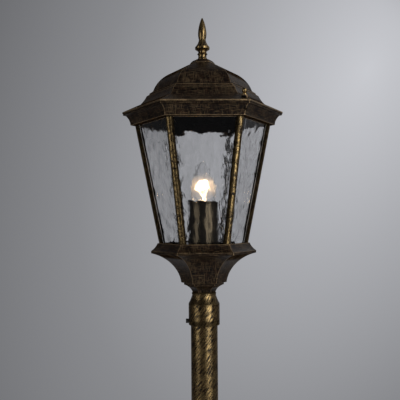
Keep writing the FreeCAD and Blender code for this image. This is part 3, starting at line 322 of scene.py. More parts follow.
def casting(node, ridge, rim_wear, other_wear, rim_gold):
    """A six-sided casting with soft ridges, from the node's section at the middle of its +Y side.  Its
    widest rim and its other edges are rubbed as told, and rim_gold is the extra gold beside the rim."""
    middle = math.pi / 2
    outline, closed = cut_outline(node, Matrix.Rotation(-middle, 4, "Z"))
    spots, edge, along = smooth_outline(outline, closed, CAST_FILLET, CAST_STEP)
    half, level = spots[:, 0], spots[:, 1]
    from_rim = np.abs(level - level[half.argmax()])
    edge = edge * np.where(from_rim < RIM_REACH, rim_wear, other_wear)
    places = side_spots()
    soft = np.minimum(ridge, half * RIDGE_SHARE)
    reach = (half - soft) * math.tan(SIDE_ANGLE / 2)
    points = np.zeros((len(half), len(places), 3))
    brush = np.zeros((len(half), len(places) + 1, 3))
    worn = np.zeros((len(half), len(places)))
    for column, (side, place, turn) in enumerate(places):
        facing = middle + side * SIDE_ANGLE
        out = np.array((math.cos(facing), math.sin(facing)))
        left = np.array((-out[1], out[0]))
        arc = facing + turn * SIDE_ANGLE
        flat = np.outer(half - soft, out) + np.outer(reach * place, left)
        points[:, column, :2] = flat + np.outer(soft, (math.cos(arc), math.sin(arc)))
        points[:, column, 2] = level
        brush[:, column, 0] = reach * place + soft * turn * SIDE_ANGLE
        brush[:, column, 1] = along
        brush[:, column, 2] = side * SIDE_SHIFT
        worn[:, column] = RIDGE_WEAR * np.exp(-reach * (1 - abs(place)) / WEAR_REACH)
    brush[:, -1] = brush[:, 0]
    skin = facing_out(spots) * (1 + rim_gold * np.exp(-from_rim / GOLD_REACH))
    skin = np.repeat(skin[:, None], len(places), axis=1)
    edge = np.maximum(edge[:, None], worn)
    return new_piece(grid_mesh(f"{node}_cast", points, closed, brush, edge, skin))


def with_column(node, axis, reach, clear, gilt):
    """Puts the node's own column for a roof screw into its casting, in place of the casting's faces within
    clear of the axis.  gilt is how golden the column is."""
    piece = bpy.data.objects[f"{node}_cast"]

    def within(face, limit):
        return all(math.hypot(vert.co.x - axis[0], vert.co.y - axis[1]) < limit for vert in face.verts)

    column = bmesh.new()
    column.from_mesh(frame["nodes"][node].data)
    outside = [face for face in column.faces if not within(face, reach)]
    bmesh.ops.delete(column, geom=outside, context="FACES")
    own = bpy.data.meshes.new(f"{node}_column")
    column.to_mesh(own)
    column.free()
    whole = bmesh.new()
    whole.from_mesh(piece.data)
    covered = [face for face in whole.faces if within(face, clear)]
    bmesh.ops.delete(whole, geom=covered, context="FACES")
    first_vert, first_face = len(whole.verts), len(whole.faces)
    whole.from_mesh(own)
    edge, skin = (whole.verts.layers.float[name] for name in ("edge", "skin"))
    brush = whole.loops.layers.float_vector["brush"]
    for vert in list(whole.verts)[first_vert:]:
        vert[edge] = vert[skin] = gilt
    for face in list(whole.faces)[first_face:]:
        for loop in face.loops:
            loop[brush] = loop.vert.co
    whole.to_mesh(piece.data)
    whole.free()
    bpy.data.meshes.remove(own)


# Turned pieces

# Heights over the fitter's foot and its share of gold, low on its foot, flare and bead as painted shade.
FITTER_PAINTED_SHADE_BANDS = ((0, 0.2), (7 * MM, 0.2), (9 * MM, 1), (30 * MM, 1), (31 * MM, 0.4), (39 * MM, 0.4),
               (41 * MM, 1), (46.5 * MM, 1), (48 * MM, 0.15), (49 * MM, 0.15))


def turned(node, fillet, step, segments, centre=(0, 0), painted_shade_bands=None):
    """A turned piece, from the node's section on the +X side of its axis.  painted_shade_bands gives
    heights over its foot and how much gold shows there, which is less where shade is painted."""
    outline, closed = cut_outline(node, Matrix.Translation((-centre[0], -centre[1], 0)))
    spots, edge, along = smooth_outline(outline, closed, fillet, step)
    radius, level = np.maximum(spots[:, 0], 0), spots[:, 1]
    angles = np.linspace(0, 2 * math.pi, segments, endpoint=False) + math.pi / 2
    points = np.zeros((len(radius), segments, 3))
    points[..., 0] = centre[0] + np.outer(radius, np.cos(angles))
    points[..., 1] = centre[1] + np.outer(radius, np.sin(angles))
    points[..., 2] = level[:, None]
    brush = np.zeros((len(radius), segments + 1, 3))
    brush[..., 0] = np.linspace(0, 2 * math.pi, segments + 1) * radius.max()
    brush[..., 1] = along[:, None]
    skin = facing_out(spots)
    # Less gold in these bands is painted shade on the fitter's steps.
    if painted_shade_bands:
        skin = skin * np.interp(level - level.min(), *zip(*painted_shade_bands))
    edge = np.repeat(edge[:, None], segments, axis=1)
    skin = np.repeat(skin[:, None], segments, axis=1)
    return new_piece(grid_mesh(f"{node}_turned", points, closed, brush, edge, skin))


# Hammered bars

# The shares of a bar's height where its section is read, its rounds, and its mesh's steps round and up.
BAR_CUTS = (0.4, 0.6)
BAR_FILLET = 0.5 * MM
BAR_STEP = 0.8 * MM
BAR_ROW = 1.4 * MM
# The dents' depth and their number to a metre across and up.  Each bar has its own by the way it faces.
HAMMER_DEPTH = 0.35 * MM
DENTS_ACROSS = 320
DENTS_UP = 230
DENTS_ROUND = 9
# How quickly the dents begin at the face, and where and how quickly its gold begins.
FACE_SLOPE = 2
GILT_FROM = 0.72
GILT_SLOPE = 8
# How much gold the rest of the face and the flanks keep, and how far aside a point is on a flank.
BARE_SKIN = 0.12
FLANK_SHARE = 0.99


def bar_section(node):
    """A bar's section at its lower cut, the way it faces, and how far it leans out for each metre up."""
    low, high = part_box(node)
    span = high.z - low.z
    centre = (low + high) / 2
    facing = math.atan2(centre.y, centre.x)
    outlines = []
    for share in BAR_CUTS:
        level = low.z + span * share
        flat = Matrix.Rotation(math.pi / 2, 4, "X") @ Matrix.Translation((0, 0, -level))
        outlines.append(cut_outline(node, flat @ Matrix.Rotation(-facing, 4, "Z"))[0])
    reaches = [max(point[0] for point in outline) for outline in outlines]
    lean = (reaches[1] - reaches[0]) / (span * (BAR_CUTS[1] - BAR_CUTS[0]))
    return outlines[0], facing, lean


def hammered_bar(node):
    """A leaning corner bar whose rounded face is beaten all over."""
    low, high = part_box(node)
    outline, facing, lean = bar_section(node)
    spots, _, along = smooth_outline(outline, True, BAR_FILLET, BAR_STEP)
    way = np.roll(spots, -1, axis=0) - np.roll(spots, 1, axis=0)
    normal = np.stack([way[:, 1], -way[:, 0]], axis=1)
    normal /= np.linalg.norm(normal, axis=1)[:, None]
    face = np.clip(normal[:, 0] * FACE_SLOPE, 0, 1)
    span = high.z - low.z
    rows = round(span / BAR_ROW) + 1
    heights = np.linspace(low.z, high.z, rows)
    turn = np.array(Matrix.Rotation(facing, 2))
    points = np.zeros((rows, len(spots), 3))
    beaten = np.zeros((rows, len(spots)))
    for row, height in enumerate(heights):
        flat = spots + np.array((lean * (height - low.z - span * BAR_CUTS[0]), 0))
        spot_noise = [noise.noise(Vector((spot[1] * DENTS_ACROSS, height * DENTS_UP, facing * DENTS_ROUND)))
                      for spot in spots]
        dents = np.array(spot_noise) * 0.5 + 0.5
        points[row, :, :2] = (flat - normal * (dents * face)[:, None] * HAMMER_DEPTH) @ turn.T
        points[row, :, 2] = height
        beaten[row] = (1 - dents) * face
    brush = np.zeros((rows, len(spots) + 1, 3))
    brush[..., 0] = np.append(along, along[-1] + np.linalg.norm(spots[0] - spots[-1]))
    brush[..., 1] = heights[:, None]
    brush[..., 2] = facing
    aside = np.abs(spots[:, 1])
    flank = aside > FLANK_SHARE * aside.max()
    gilt = np.clip((normal[:, 0] - GILT_FROM) * GILT_SLOPE, 0, 1)
    skin = np.maximum(gilt, BARE_SKIN * np.maximum(face, flank))
    skin = np.repeat(skin[None, :], rows, axis=0)
    return new_piece(capped(grid_mesh(f"{node}_beaten", points, False, brush, beaten, skin)))


# Rippled panes

# A pane's mesh, the angle from which its edges are sharp, and how far apart the panes' seeds are.
PANE_COLUMNS, PANE_ROWS = 76, 140
PANE_SHARP = math.radians(50)
PANE_SEED = 2.9
RIPPLE_DEPTH = 0.8 * MM
# Waves to a metre across and up, with their share of the depth or how far they sway the others.
SWAY_WAVES, SWAY_REACH = (40, 28), 6 * MM
LARGE_WAVES, LARGE_SHARE, LARGE_SEED = (84, 92), 0.76, 7.3
SMALL_WAVES, SMALL_SHARE, SMALL_SEED = (230, 150), 0.22, 19.1


def wave(across, up, waves, seed):
    """Noise from -1 to 1 with so many waves to a metre."""
    return noise.noise(Vector((across * waves[0], up * waves[1], seed)))


def ripple(across, up, seed):
    """Depth of the rippled glass at a place on the pane, from 0 to 1."""
    swayed = across + wave(across, up, SWAY_WAVES, seed) * SWAY_REACH
    large = wave(swayed, up, LARGE_WAVES, seed + LARGE_SEED)
    small = wave(swayed, up, SMALL_WAVES, seed + SMALL_SEED)
    return min(1.0, max(0.0, 0.5 + LARGE_SHARE * large + SMALL_SHARE * small))


def pane_corners(node):
    """The pane's way to its right, and for each of its four corners the inner point and the outer one."""
    corners = {tuple(round(c, 6) for c in vert.co) for vert in frame["nodes"][node].data.vertices}
    centre = sum((Vector(c) for c in corners), Vector()) / len(corners)
    out = Vector((centre.x, centre.y, 0)).normalized()
    right = Vector((0, 0, 1)).cross(out) * -1
    groups = {}
    for corner in corners:
        spot = Vector(corner)
        groups.setdefault((spot.dot(right) > 0, spot.z > centre.z), []).append(spot)
    for pair in groups.values():
        pair.sort(key=lambda spot: spot.dot(out))
    return right, groups


def pane_sheet(groups, layer):
    """Points all over the pane's inner face, layer 0, or its outer face, layer 1."""
    low_left, low_right = groups[(False, False)][layer], groups[(True, False)][layer]
    high_left, high_right = groups[(False, True)][layer], groups[(True, True)][layer]
    sheet = np.zeros((PANE_ROWS, PANE_COLUMNS, 3))
    for row in range(PANE_ROWS):
        left_end = low_left.lerp(high_left, row / (PANE_ROWS - 1))
        right_end = low_right.lerp(high_right, row / (PANE_ROWS - 1))
        for column in range(PANE_COLUMNS):
            sheet[row, column] = left_end.lerp(right_end, column / (PANE_COLUMNS - 1))
    return sheet


def rippled_pane(node, seed):
    """A pane with a rippled outer face and a smooth inner one.  Its rim's faces are marked as ground."""
    right, groups = pane_corners(node)
    inner, outer = pane_sheet(groups, 0), pane_sheet(groups, 1)
    inward = inner - outer
    inward /= np.linalg.norm(inward, axis=-1)[..., None]
    for row in range(PANE_ROWS):
        for column in range(PANE_COLUMNS):
            spot = Vector(outer[row, column])
            depth = ripple(spot.dot(right), spot.z, seed)
            outer[row, column] += inward[row, column] * depth * RIPPLE_DEPTH
    verts = np.concatenate([outer.reshape(-1, 3), inner.reshape(-1, 3)])
    count = PANE_ROWS * PANE_COLUMNS
    number = np.arange(count).reshape(PANE_ROWS, PANE_COLUMNS)
    front = np.stack([number[:-1, :-1], number[:-1, 1:], number[1:, 1:], number[1:, :-1]], axis=-1)
    front = front.reshape(-1, 4)
    behind = front[:, ::-1] + count
    border = np.concatenate([number[0, :], number[1:, -1], number[-1, -2::-1], number[-2:0:-1, 0]])
    following = np.roll(border, -1)
    rim = np.stack([border, border + count, following + count, following], axis=-1)
    pane = bpy.data.meshes.new(f"{node}_rippled")
    pane.from_pydata(verts.tolist(), [], np.concatenate([front, behind, rim]).tolist())
    brush = np.stack([verts @ np.array(right), verts[:, 2], np.full(len(verts), seed)], axis=1)
    pane.attributes.new("brush", "FLOAT_VECTOR", "POINT").data.foreach_set("vector", brush.ravel())
    ground = np.concatenate([np.zeros(len(front) + len(behind)), np.ones(len(rim))])
    pane.attributes.new("ground", "FLOAT", "FACE").data.foreach_set("value", ground)
    piece = new_piece(pane)
    pane.set_sharp_from_angle(angle=PANE_SHARP)
    return piece


# Filament

# The coil, its wire, and the part of a full ring that it runs along.
COIL_RADIUS = 2.2 * MM
WIRE_RADIUS = 0.3 * MM
WIRE_SIDES = 6
COIL_TURNS, COIL_STEPS = 26, 14
LOOP_ANGLE = math.radians(270)
# Where the supports leave the stem: their distance as a share of the loop's radius, and how deep they go in.
FOOT_SHARE = 0.28
FOOT_DEPTH = 2 * MM


def tube(points, radius, sides):
    """A thin round wire along points, as vertices and faces."""
    verts, faces = [], []
    for index, point in enumerate(points):
        way = points[min(index + 1, len(points) - 1)] - points[max(index - 1, 0)]
        if index == 0:
            across = way.orthogonal().normalized()
        else:
            across = across - way * (across.dot(way) / way.dot(way))
        across.normalize()
        other = way.normalized().cross(across)
        for side in range(sides):
            angle = 2 * math.pi * side / sides
            verts.append(point + (across * math.cos(angle) + other * math.sin(angle)) * radius)
    for row in range(len(points) - 1):
        here, above = row * sides, (row + 1) * sides
        for side in range(sides):
            after = (side + 1) % sides
            faces.append((here + side, here + after, above + after, above + side))
    return verts, faces


def coiled_filament():
    """The wire coiled along its loop, and the two supports under the loop's ends."""
    low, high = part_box("lamp_filament")
    radius = (high.x - low.x) / 2
    level = high.z
    coil = []
    for k in range(COIL_TURNS * COIL_STEPS + 1):
        angle = k / (COIL_TURNS * COIL_STEPS) * LOOP_ANGLE
        twist = 2 * math.pi * k / COIL_STEPS
        reach = radius + COIL_RADIUS * math.cos(twist)
        height = level + COIL_RADIUS * math.sin(twist)
        coil.append(Vector((reach * math.cos(angle), reach * math.sin(angle), height)))
    stem_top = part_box("lamp_stem")[1].z
    wires = [coil]
    for side in (1, -1):
        foot = Vector((side * radius * FOOT_SHARE, 0, stem_top - FOOT_DEPTH))
        wires.append([foot, Vector((side * radius, 0, level))])
    verts, faces = [], []
    for points in wires:
        more, around = tube(points, WIRE_RADIUS, WIRE_SIDES)
        faces += [[number + len(verts) for number in face] for face in around]
        verts += more
    mesh = bpy.data.meshes.new("filament_coil")
    mesh.from_pydata(verts, [], faces)
    return new_piece(capped(mesh))


# Shader nodes

def new_material(name):
    material = bpy.data.materials.new(name)
    material.use_nodes = True
    return material, material.node_tree, material.node_tree.nodes["Principled BSDF"]


def add(tree, kind, inputs=None, **settings):
    """A node with its settings, and its inputs linked or set."""
    node = tree.nodes.new(kind)
    for key, setting in settings.items():
        setattr(node, key, setting)
    for key, source in (inputs or {}).items():
        if isinstance(source, bpy.types.NodeSocket):
            tree.links.new(source, node.inputs[key])
        else:
            node.inputs[key].default_value = source
    return node


def math_of(tree, operation, first, second=0.0):
    return add(tree, "ShaderNodeMath", {0: first, 1: second}, operation=operation).outputs[0]


def weighted(tree, sources, shares):
    """The sum of values, each times its share."""
    total = None
    for source, share in zip(sources, shares):
        part = math_of(tree, "MULTIPLY", source, share)
        total = part if total is None else math_of(tree, "ADD", total, part)
    return total


def step_of(tree, source, low, high, bottom=0.0, top=1.0):
    """A smooth step of a value from bottom to top."""
    inputs = {"Value": source, "From Min": low, "From Max": high, "To Min": bottom, "To Max": top}
    return add(tree, "ShaderNodeMapRange", inputs, interpolation_type="SMOOTHSTEP").outputs["Result"]


def colour_mix(tree, share, first, second):
    """A colour between two, by the share of the second."""
    return add(tree, "ShaderNodeMix", {0: share, 6: first, 7: second}, data_type="RGBA").outputs[2]


def noise_of(tree, place, scale, detail, roughness=0.55):
    inputs = {"Vector": place, "Scale": scale, "Detail": detail, "Roughness": roughness}
    return add(tree, "ShaderNodeTexNoise", inputs).outputs["Fac"]


def bump_of(tree, height, strength, depth):
    inputs = {"Height": height, "Strength": strength, "Distance": depth}
    return add(tree, "ShaderNodeBump", inputs).outputs["Normal"]


def strokes(tree, place, angle, length, width, shift):
    """Noise drawn out along brush strokes."""
    inputs = {"Vector": place, "Location": (shift, shift, shift), "Rotation": (0, 0, angle),
              "Scale": (length, width, 1)}
    along = add(tree, "ShaderNodeMapping", inputs, vector_type="TEXTURE").outputs["Vector"]
    return noise_of(tree, along, scale=1.0, detail=2.0, roughness=0.6)


def attribute(tree, name, output):
    return add(tree, "ShaderNodeAttribute", attribute_name=name).outputs[output]


def brush_place(tree):
    return attribute(tree, "brush", "Vector")


def object_place(tree):
    return add(tree, "ShaderNodeTexCoord").outputs["Object"]


def object_height(tree):
    return add(tree, "ShaderNodeSeparateXYZ", {0: object_place(tree)}).outputs["Z"]


def mirrored(tree, rays):
    """1 for a ray that a glossy face has thrown back, 0 for one that has come through glass."""
    return math_of(tree, "GREATER_THAN", rays.outputs["Is Glossy Ray"], rays.outputs["Is Transmission Ray"])


# Paint and gold

# The inside's near-black paint, which is also painted shade where the inside lies in shadow.
SHADED_INNER_PAINT = (0.0015, 0.0013, 0.0013, 1)
DARK_PAINT = (0.0022, 0.0013, 0.0009, 1)
BROWN_PAINT = (0.0145, 0.0060, 0.0027, 1)
BRIGHT_GOLD = (0.34, 0.220, 0.086, 1), (0.62, 0.46, 0.22, 1)
DULL_GOLD = (0.31, 0.195, 0.095, 1), (0.57, 0.43, 0.26, 1)
SATIN, SHINE = (0.30, 0.42), (0.22, 0.32)
# Angles of the strokes.
CROSSED = (0.0, math.pi / 2)
DIAGONAL = (math.radians(53),)
STEEP = (math.radians(75),)
# How far apart crossed strokes start, where their gold begins and is full, and what patches add to it.
STROKE_SHIFT = 0.37
STROKE_STEP = (0.69, 0.80)
PATCH_SHARE = 0.2
# How far beyond worn_from a rubbed edge is fully gold, and the shares of rub, blotches and patches in it.
RUB_RANGE = 0.6
UNEVEN_SHARES = (0.4, 0.5, 0.5)
# From this much gold on the surface is as metallic as it gets.
METAL_FROM = 0.3
# Noise scales: large patches of gold, blotches of paint, and the fine rub of the gold.
PATCH_SCALE = 45.0
BLOTCH_SCALE = 160.0
RUB_SCALE = 900.0
# Where blotches turn the paint brown and the surface rough, and where rub turns the gold light.
BROWN_STEP = (0.35, 0.7)
ROUGH_STEP = (0.2, 0.8)
LIGHT_STEP = (0.35, 0.75)
# The paint's gloss, and how it is lost towards grazing angles.
SHEEN = 0.14
GRAZING = (0.72, 0.86)
GRAZING_ROUGHNESS = 0.85
GRAZING_TINT = (0.04, 0.035, 0.03, 1)
WHITE = (1, 1, 1, 1)
# The grain of the surface, and the shares of gold and rub in it.
GRAIN_DEPTH = 0.25 * MM
GRAIN_STRENGTH = 0.35
GRAIN_SHARES = (0.4, 0.6)


def brushed(tree, place, patches, angles, length, width, cover, share):
    """How much gold the strokes leave."""
    gold = None
    for number, angle in enumerate(angles):
        drawn = strokes(tree, place, angle, length, width, number * STROKE_SHIFT)
        wanted = math_of(tree, "ADD", drawn, math_of(tree, "MULTIPLY", patches, PATCH_SHARE))
        mask = step_of(tree, wanted, STROKE_STEP[0] - cover, STROKE_STEP[1] - cover, 0.0, share)
        gold = mask if gold is None else math_of(tree, "MAXIMUM", gold, mask)
    return gold


def rubbed(tree, patches, blotch, rub, rim, worn_from):
    """How much gold the worn edges have."""
    uneven = weighted(tree, (rub, blotch, patches), UNEVEN_SHARES)
    edge = math_of(tree, "ADD", attribute(tree, "edge", "Fac"), uneven)
    return step_of(tree, edge, worn_from, worn_from + RUB_RANGE, 0.0, rim)


def antique(name, place_of, *, angles, length, width, golds, cover, share, metallic, gloss,
            rim=0.0, worn_from=1.3, skinned=True):
    """Black-brown paint with gold brushed over it.  cover is how much of the strokes shows, share how much
    gold they carry, rim how much the edges carry from worn_from on, and gloss the range of the roughness."""
    material, tree, shader = new_material(name)
    place = place_of(tree)
    patches = noise_of(tree, place, PATCH_SCALE, detail=2.0)
    rub = noise_of(tree, place, RUB_SCALE, detail=2.0)
    blotch = noise_of(tree, place, BLOTCH_SCALE, detail=3.0)
    gold = brushed(tree, place, patches, angles, length, width, cover, share)
    paint = colour_mix(tree, step_of(tree, blotch, *BROWN_STEP), DARK_PAINT, BROWN_PAINT)
    facing = add(tree, "ShaderNodeLayerWeight", {"Blend": 0.5}).outputs["Facing"]
    grazing = step_of(tree, facing, *GRAZING)
    sheen = step_of(tree, grazing, 0.0, 1.0, SHEEN, 0.0)
    if skinned:
        # Where skin is 0, inside, gold and gloss go and the paint turns near-black: plain paint and painted shade.
        skin = attribute(tree, "skin", "Fac")
        gold = math_of(tree, "MAXIMUM", gold, rubbed(tree, patches, blotch, rub, rim, worn_from))
        gold = math_of(tree, "MULTIPLY", gold, skin)
        paint = colour_mix(tree, skin, SHADED_INNER_PAINT, paint)
        sheen = math_of(tree, "MULTIPLY", sheen, step_of(tree, skin, 0.0, 1.0))
    metal = colour_mix(tree, step_of(tree, rub, *LIGHT_STEP), *golds)
    smooth = step_of(tree, blotch, *ROUGH_STEP, *gloss)
    rough = math_of(tree, "MAXIMUM", smooth, math_of(tree, "MULTIPLY", grazing, GRAZING_ROUGHNESS))
    grain = weighted(tree, (gold, rub), GRAIN_SHARES)
    tree.links.new(colour_mix(tree, gold, paint, metal), shader.inputs["Base Color"])
    tree.links.new(step_of(tree, gold, 0.0, METAL_FROM, 0.0, metallic), shader.inputs["Metallic"])
    tree.links.new(rough, shader.inputs["Roughness"])
    tree.links.new(colour_mix(tree, grazing, WHITE, GRAZING_TINT), shader.inputs["Specular Tint"])
    tree.links.new(sheen, shader.inputs["Specular IOR Level"])
    tree.links.new(bump_of(tree, grain, GRAIN_STRENGTH, GRAIN_DEPTH), shader.inputs["Normal"])
    return material


cast_paint = antique("antique_cast", brush_place, angles=CROSSED, length=11 * MM, width=1.1 * MM,
                     golds=DULL_GOLD, cover=0.05, share=0.21, metallic=0.75, gloss=SATIN,
                     rim=0.95, worn_from=1.25)
post_paint = antique("antique_post", brush_place, angles=DIAGONAL, length=13 * MM, width=1.0 * MM,
                     golds=BRIGHT_GOLD, cover=0.13, share=0.85, metallic=1.0, gloss=SHINE, rim=0.8)
finial_paint = antique("antique_finial", brush_place, angles=STEEP, length=16 * MM, width=2.4 * MM,
                       golds=BRIGHT_GOLD, cover=0.15, share=0.85, metallic=1.0, gloss=SHINE, rim=0.6)
bar_paint = antique("antique_bar", brush_place, angles=STEEP, length=3 * MM, width=1.2 * MM,
                    golds=BRIGHT_GOLD, cover=0.10, share=0.9, metallic=1.0, gloss=SHINE,
                    rim=0.9, worn_from=1.0)
base_paint = antique("antique_base", object_place, angles=CROSSED, length=9 * MM, width=1.3 * MM,
                     golds=BRIGHT_GOLD, cover=0.14, share=0.4, metallic=0.6, gloss=SATIN, skinned=False)

# Glass

# The panes' glass, their ground edges, and their fine streaks, which are nearly upright.
PANE_TINT = (0.95, 0.95, 0.95, 1)
PANE_IOR = 1.5
GROUND_EDGE = (0.5, 0.5, 0.51, 1)
STREAK_ANGLE = math.radians(83)
STREAK_LENGTH, STREAK_WIDTH, STREAK_SHIFT = 9 * MM, 2.3 * MM, 0.5
STREAK_DEPTH = 0.12 * MM
STREAK_STRENGTH = 1.0
# Fine seeds, which make the glass a little rough here and there.
SEED_SCALE = 700.0
SEED_STEP = (0.45, 0.9)
SEED_ROUGHNESS = 0.06
# The bulb's glass, its painted glow round the filament's height, and the range over which its frosting ends.
BULB_TINT = (0.98, 0.98, 0.98, 1)
BULB_IOR = 1.2
BULB_GLOW = 0.10
GLOW_COLOUR = (1.0, 0.60, 0.27, 1)
GLOW_REACH = 13 * MM
FROST_REACH = (8 * MM, 28 * MM)
FROST_ROUGHNESS, CLEAR_ROUGHNESS = 0.42, 0.06
# The stem's glass, and its painted glow at its foot and at its top.
STEM_TINT = (0.9, 0.9, 0.9, 1)
STEM_CLEARNESS = 0.6
STEM_ROUGHNESS = 0.25
STEM_COLOUR = (1.0, 0.72, 0.42, 1)
STEM_GLOW = (0.1, 2.2)
# The filament's metal, and its glow between two colours.
WIRE_METAL = (0.2, 0.19, 0.18, 1)
WIRE_COLOURS = (1.0, 0.62, 0.28, 1), (1.0, 0.74, 0.42, 1)
WIRE_SCALE = 250.0
FILAMENT_STRENGTH = 30.0


def see_through(name, tint, ior, roughness):
    """Clear glass that lets the lamps' light and thrown-back rays straight through."""
    material, tree, shader = new_material(name)
    shader.inputs["Base Color"].default_value = tint
    shader.inputs["Transmission Weight"].default_value = 1.0
    shader.inputs["IOR"].default_value = ior
    seeds = noise_of(tree, object_place(tree), SEED_SCALE, detail=2.0)
    rough = step_of(tree, seeds, *SEED_STEP, roughness, roughness + SEED_ROUGHNESS)
    tree.links.new(rough, shader.inputs["Roughness"])
    clear = add(tree, "ShaderNodeBsdfTransparent", {"Color": tint})
    rays = add(tree, "ShaderNodeLightPath")
    straight = math_of(tree, "MAXIMUM", rays.outputs["Is Shadow Ray"], mirrored(tree, rays))
    either = add(tree, "ShaderNodeMixShader", {0: straight, 1: shader.outputs[0], 2: clear.outputs[0]})
    tree.links.new(either.outputs[0], tree.nodes["Material Output"].inputs["Surface"])
    return material


def streaked(material):
    """Pane glass with fine upright streaks and dull ground edges."""
    tree = material.node_tree
    shader = tree.nodes["Principled BSDF"]
    drawn = strokes(tree, brush_place(tree), STREAK_ANGLE, STREAK_LENGTH, STREAK_WIDTH, STREAK_SHIFT)
    ground = attribute(tree, "ground", "Fac")
    tree.links.new(bump_of(tree, drawn, STREAK_STRENGTH, STREAK_DEPTH), shader.inputs["Normal"])
    tree.links.new(colour_mix(tree, ground, PANE_TINT, GROUND_EDGE), shader.inputs["Base Color"])
    tree.links.new(step_of(tree, ground, 0.0, 1.0, 1.0, 0.0), shader.inputs["Transmission Weight"])
    return material


def frosted_with_painted_glow(material):
    """Bulb glass that carries a painted glow and softens the filament's picture at its height, and is clear
    at the tip.
    """
    tree = material.node_tree
    shader = tree.nodes["Principled BSDF"]
    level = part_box("lamp_filament")[1].z
    off = math_of(tree, "ABSOLUTE", math_of(tree, "SUBTRACT", object_height(tree), level))
    rough = step_of(tree, off, *FROST_REACH, FROST_ROUGHNESS, CLEAR_ROUGHNESS)
    # Painted glow: the glass itself gives off the filament's light round the filament's height.
    shader.inputs["Emission Color"].default_value = GLOW_COLOUR
    tree.links.new(step_of(tree, off, 0.0, GLOW_REACH, BULB_GLOW, 0.0), shader.inputs["Emission Strength"])
    tree.links.new(rough, shader.inputs["Roughness"])
    return material


def painted_glow_stem():
    """The lamp's inner glass, with a painted glow for the filament's light that it carries down."""
    material, tree, shader = new_material("painted_glow_stem")
    low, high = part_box("lamp_stem")
    # Painted glow, faint at the stem's foot and strong at its top.
    glow = step_of(tree, object_height(tree), low.z, high.z, *STEM_GLOW)
    shader.inputs["Base Color"].default_value = STEM_TINT
    shader.inputs["Transmission Weight"].default_value = STEM_CLEARNESS
    shader.inputs["Roughness"].default_value = STEM_ROUGHNESS
    shader.inputs["Emission Color"].default_value = STEM_COLOUR
    tree.links.new(glow, shader.inputs["Emission Strength"])
    return material


def glowing_wire():
    material, tree, shader = new_material("glowing_tungsten")
    along = noise_of(tree, object_place(tree), WIRE_SCALE, detail=2.0)
    shader.inputs["Base Color"].default_value = WIRE_METAL
    shader.inputs["Emission Strength"].default_value = FILAMENT_STRENGTH
    tree.links.new(colour_mix(tree, along, *WIRE_COLOURS), shader.inputs["Emission Color"])
    return material


pane_glass = streaked(see_through("rippled_glass", PANE_TINT, PANE_IOR, roughness=0.0))
bulb_glass = frosted_with_painted_glow(see_through("bulb_glass", BULB_TINT, BULB_IOR, CLEAR_ROUGHNESS))

# Plain metals and insulators

# Clouds vary the colour, and a finer noise the gloss, between two shares of the roughness, and the grain.
CLOUD_SCALE = 400.0
CLOUD_STEP = (0.3, 0.7)
FINE_SCALE = CLOUD_SCALE * 6
FINE_STEP = (0.2, 0.8)
FINE_SHARES = (0.8, 1.25)
FINE_DEPTH = 0.1 * MM
FINE_STRENGTH = 0.15


def plain(name, first, second, roughness, metallic=1.0):
    """A surface whose colour and gloss vary a little."""
    material, tree, shader = new_material(name)
    place = object_place(tree)
    cloud = noise_of(tree, place, CLOUD_SCALE, detail=4.0)
    fine = noise_of(tree, place, FINE_SCALE, detail=2.0)
    colour = colour_mix(tree, step_of(tree, cloud, *CLOUD_STEP), first, second)
    rough = step_of(tree, fine, *FINE_STEP, *(roughness * share for share in FINE_SHARES))
    shader.inputs["Metallic"].default_value = metallic
    tree.links.new(colour, shader.inputs["Base Color"])
    tree.links.new(rough, shader.inputs["Roughness"])
    tree.links.new(bump_of(tree, fine, FINE_STRENGTH, FINE_DEPTH), shader.inputs["Normal"])
    return material


bronze = plain("sleeve_bronze", (0.068, 0.054, 0.035, 1), (0.12, 0.097, 0.064, 1), roughness=0.22)
dark_steel = plain("dark_screw", (0.02, 0.018, 0.016, 1), (0.04, 0.036, 0.03, 1), roughness=0.4,
                   metallic=0.6)
zinc = plain("zinc_steel", (0.52, 0.53, 0.55, 1), (0.62, 0.62, 0.62, 1), roughness=0.32)
brass = plain("brass", (0.62, 0.44, 0.18, 1), (0.72, 0.54, 0.26, 1), roughness=0.3)
ceramic = plain("ceramic", (0.72, 0.70, 0.66, 1), (0.80, 0.78, 0.74, 1), roughness=0.4, metallic=0.0)
insulator = plain("black_insulator", (0.012, 0.011, 0.012, 1), (0.02, 0.018, 0.02, 1), roughness=0.2,
                  metallic=0.0)

# Pieces

screws = [joint for joint in frame["joints"] if joint["name"] in ("knob_front_turn", "knob_back_turn")]

for node, looks in CASTINGS.items():
    stand_for(casting(node, *looks), node, cast_paint)
for screw in screws:
    with_column("roof", screw["pos_m"][:2], PAD_REACH, clear=PAD_REACH, gilt=1)
    with_column("cornice_ring", screw["pos_m"][:2], BOSS_REACH, clear=0, gilt=0)
post = turned("post", fillet=0.4 * MM, step=3 * MM, segments=96)
stand_for(post, "post", post_paint)
fitter = turned("post_fitter", fillet=0.4 * MM, step=1.5 * MM, segments=96, painted_shade_bands=FITTER_PAINTED_SHADE_BANDS)
stand_for(fitter, "post_fitter", post_paint)
finial = turned("finial", fillet=0.35 * MM, step=0.8 * MM, segments=64)
stand_for(finial, "finial", finial_paint)
sleeve = turned("holder_sleeve", fillet=0.25 * MM, step=2 * MM, segments=96)
stand_for(sleeve, "holder_sleeve", bronze)
bulb = turned("lamp_glass", fillet=0.2 * MM, step=1.2 * MM, segments=64)
stand_for(bulb, "lamp_glass", bulb_glass)
for screw in screws:
    node = screw["child"].replace("knob", "roof_knob")
    knob = turned(node, fillet=0.2 * MM, step=0.6 * MM, segments=40, centre=screw["pos_m"][:2])
    stand_for(knob, node, finial_paint)
for number in range(1, SIDES + 1):
    bar = f"corner_bar_{number}"
    stand_for(hammered_bar(bar), bar, bar_paint)
    pane = f"glass_pane_{number}"
    stand_for(rippled_pane(pane, number * PANE_SEED), pane, pane_glass)
stand_for(coiled_filament(), "lamp_filament", glowing_wire())

